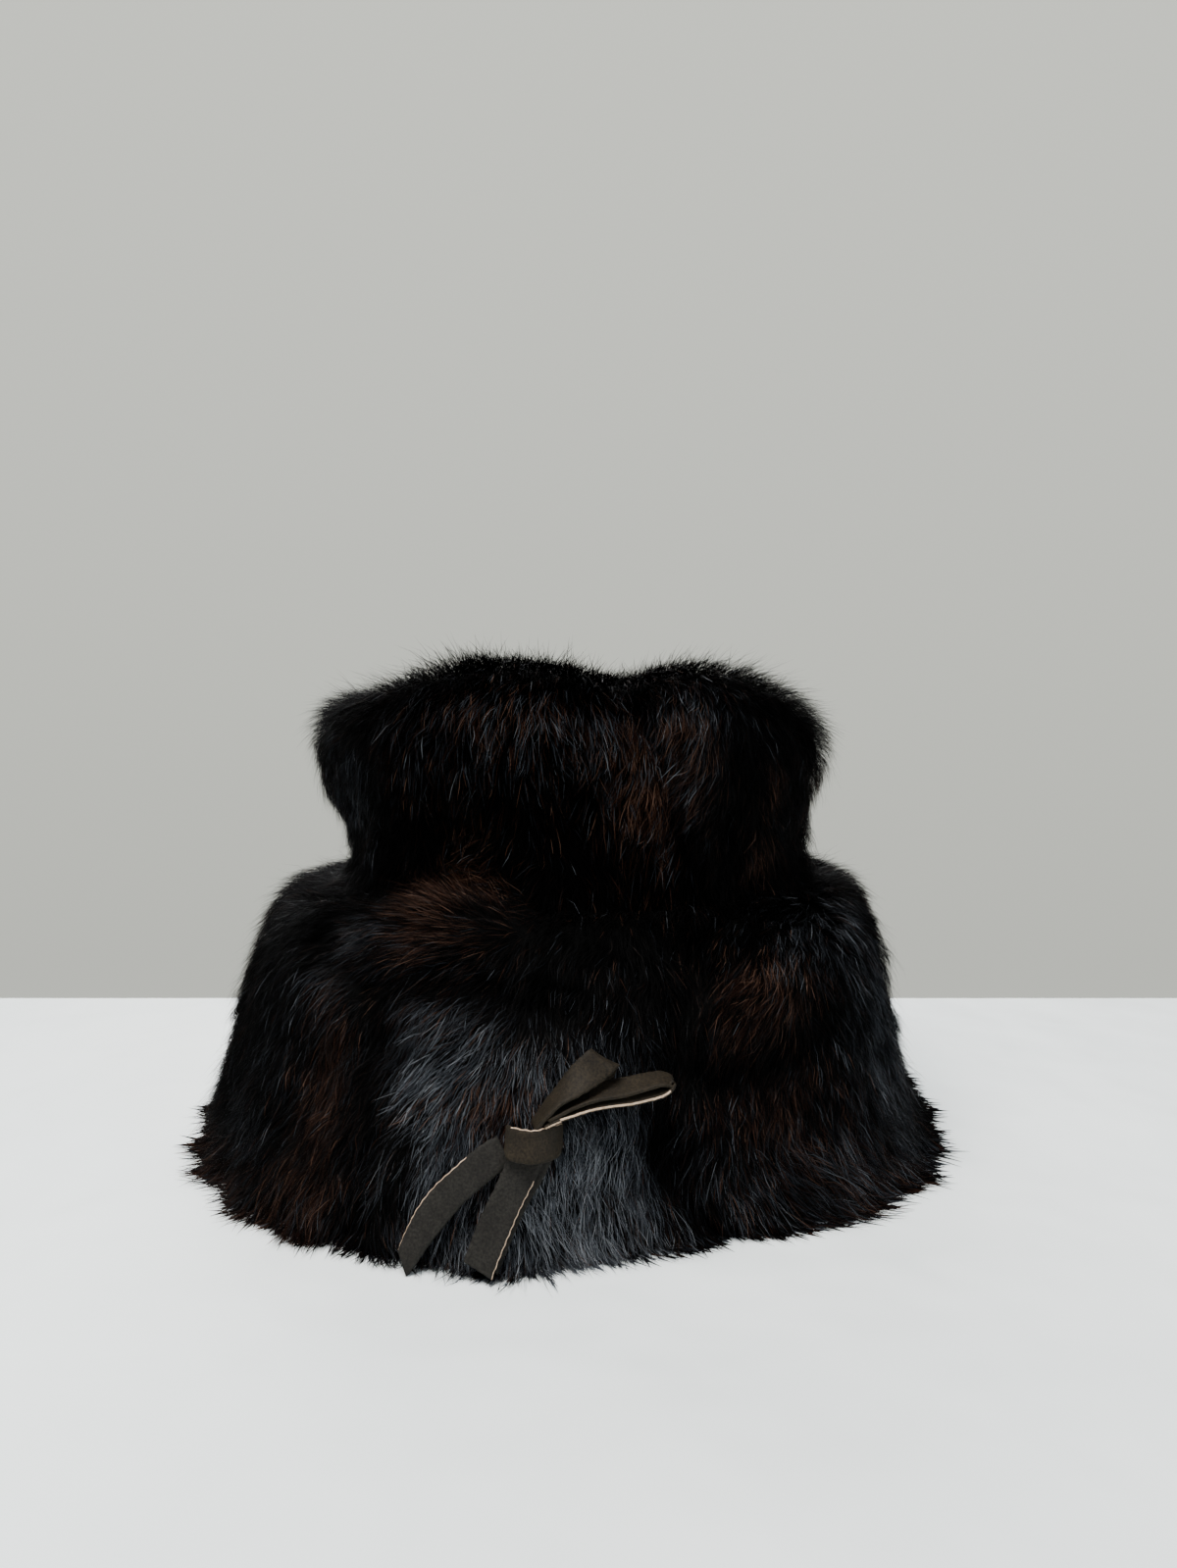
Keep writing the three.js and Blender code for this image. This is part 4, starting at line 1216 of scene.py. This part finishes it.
def strap(name, leather, edge):
    """The strap that stands for a node of the frame."""
    at, along, across, face = strap_frames(name)
    outline = strap_outline()
    faces, pale = strap_faces(name, outline, face)
    mesh = bpy.data.meshes.new("strap_" + name)
    mesh.from_pydata(strap_points(name, outline, at, along, across, face), [], faces)
    mesh.materials.append(leather)
    mesh.materials.append(edge)
    mesh.polygons.foreach_set("material_index", list(map(int, pale)))
    mesh.polygons.foreach_set("use_smooth", [True] * len(mesh.polygons))
    lay_out_strap(mesh, len(at), len(outline))
    mesh.update()
    if mesh_volume(mesh) < 0:
        mesh.flip_normals()
    piece = in_scene("strap_" + name, mesh)
    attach(piece, "root")
    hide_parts(name)


def mesh_volume(mesh):
    mesh.calc_loop_triangles()
    total = 0.0
    for triangle in mesh.loop_triangles:
        a, b, c = (mesh.vertices[v].co for v in triangle.vertices)
        total += a.dot(b.cross(c)) / 6
    return total


def table(paper):
    """The white table that the hat stands on."""
    side, front, back = TABLE
    mesh = bpy.data.meshes.new("table")
    corners = [(-side, front, 0), (side, front, 0), (side, back, 0), (-side, back, 0)]
    mesh.from_pydata(corners, [], [(0, 1, 2, 3)])
    mesh.materials.append(paper)
    floor = in_scene("table", mesh)


def area_light(name, place, target, size, power, color):
    lamp = bpy.data.lights.new(name, "AREA")
    lamp.shape = "DISK"
    lamp.size = size
    lamp.energy = power
    lamp.color = color
    holder = in_scene(name, lamp)
    holder.location = place
    way = np.array(target) - np.array(place)
    holder.rotation_euler = Vector(way).to_track_quat("-Z", "Y").to_euler()


def daylight():
    """Soft room light from above, the front and behind, and a pale wall, darker low down as painted
    shade.
    """
    world = bpy.data.worlds.new("pale wall")
    bpy.context.scene.world = world
    world.use_nodes = True
    tree = world.node_tree
    seen = tree.nodes["Background"]
    way = wire(tree, "ShaderNodeTexCoord").outputs["Generated"]
    height = wire(tree, "ShaderNodeSeparateXYZ", {0: way}).outputs[2]
    rise = wire(tree, "ShaderNodeMapRange", {0: height, 1: -0.2, 2: 0.5})
    tree.links.new(ramp(tree, rise.outputs[0], WALL_AND_PAINTED_SHADE), seen.inputs[0])
    light = wire(tree, "ShaderNodeBackground", {0: AMBIENT, 1: AMBIENT_STRENGTH})
    path = wire(tree, "ShaderNodeLightPath").outputs["Is Camera Ray"]
    mixed = wire(tree, "ShaderNodeMixShader", {0: path, 1: light.outputs[0], 2: seen.outputs[0]})
    tree.links.new(mixed.outputs[0], tree.nodes["World Output"].inputs[0])
    for lamp in LAMPS:
        area_light(*lamp)


def camera():
    """The phone that took the photo, held level with the hat's rim and turned down a little."""
    view = bpy.data.cameras.new("camera")
    view.lens = 26
    view.sensor_width = 36
    view.sensor_fit = "AUTO"
    holder = in_scene("camera", view)
    holder.location = (0.009, -0.5115, 0.181)
    holder.rotation_euler = (math.radians(86), 0, 0)
    bpy.context.scene.camera = holder


camera()
daylight()
MOTTLE = mottle_group()
table(mottled_material("white paper", MOTTLE))
HAIR = hair_group()
FURS = {
    "fur_black": fur_material("fur_black", HAIR, 0.12, 0.01),
    "fur_brown": fur_material("fur_brown", HAIR, 0.11, 0.035),
    "fur_grey": fur_material("fur_grey", HAIR, 0.10, 0.04),
}
SKIN = mottled_material("pelt skin", MOTTLE)
blades = hair_blades()
TREES = {slot: fur_tree(blades, fur) for slot, fur in FURS.items()}
for number, (node, slot, *edges) in enumerate(PELTS):
    furred(node, slot, backing(node, *pelt_grid(*edges)), number * SEED_STEP)
furred("crown_top", "fur_brown", backing("crown_top", *top_grid(), closed=True), TOP_SEED)
for blade in list(blades.objects):
    bpy.data.objects.remove(blade)
bpy.data.collections.remove(blades)

BROWN_LEATHER = mottled_material("tie leather", MOTTLE)
GREY_LEATHER = mottled_material("tie leather worn", MOTTLE)
EDGE = mottled_material("tie cut edge", MOTTLE)
for name in BOW:
    strap(name, GREY_LEATHER if "tail" in name else BROWN_LEATHER, EDGE)
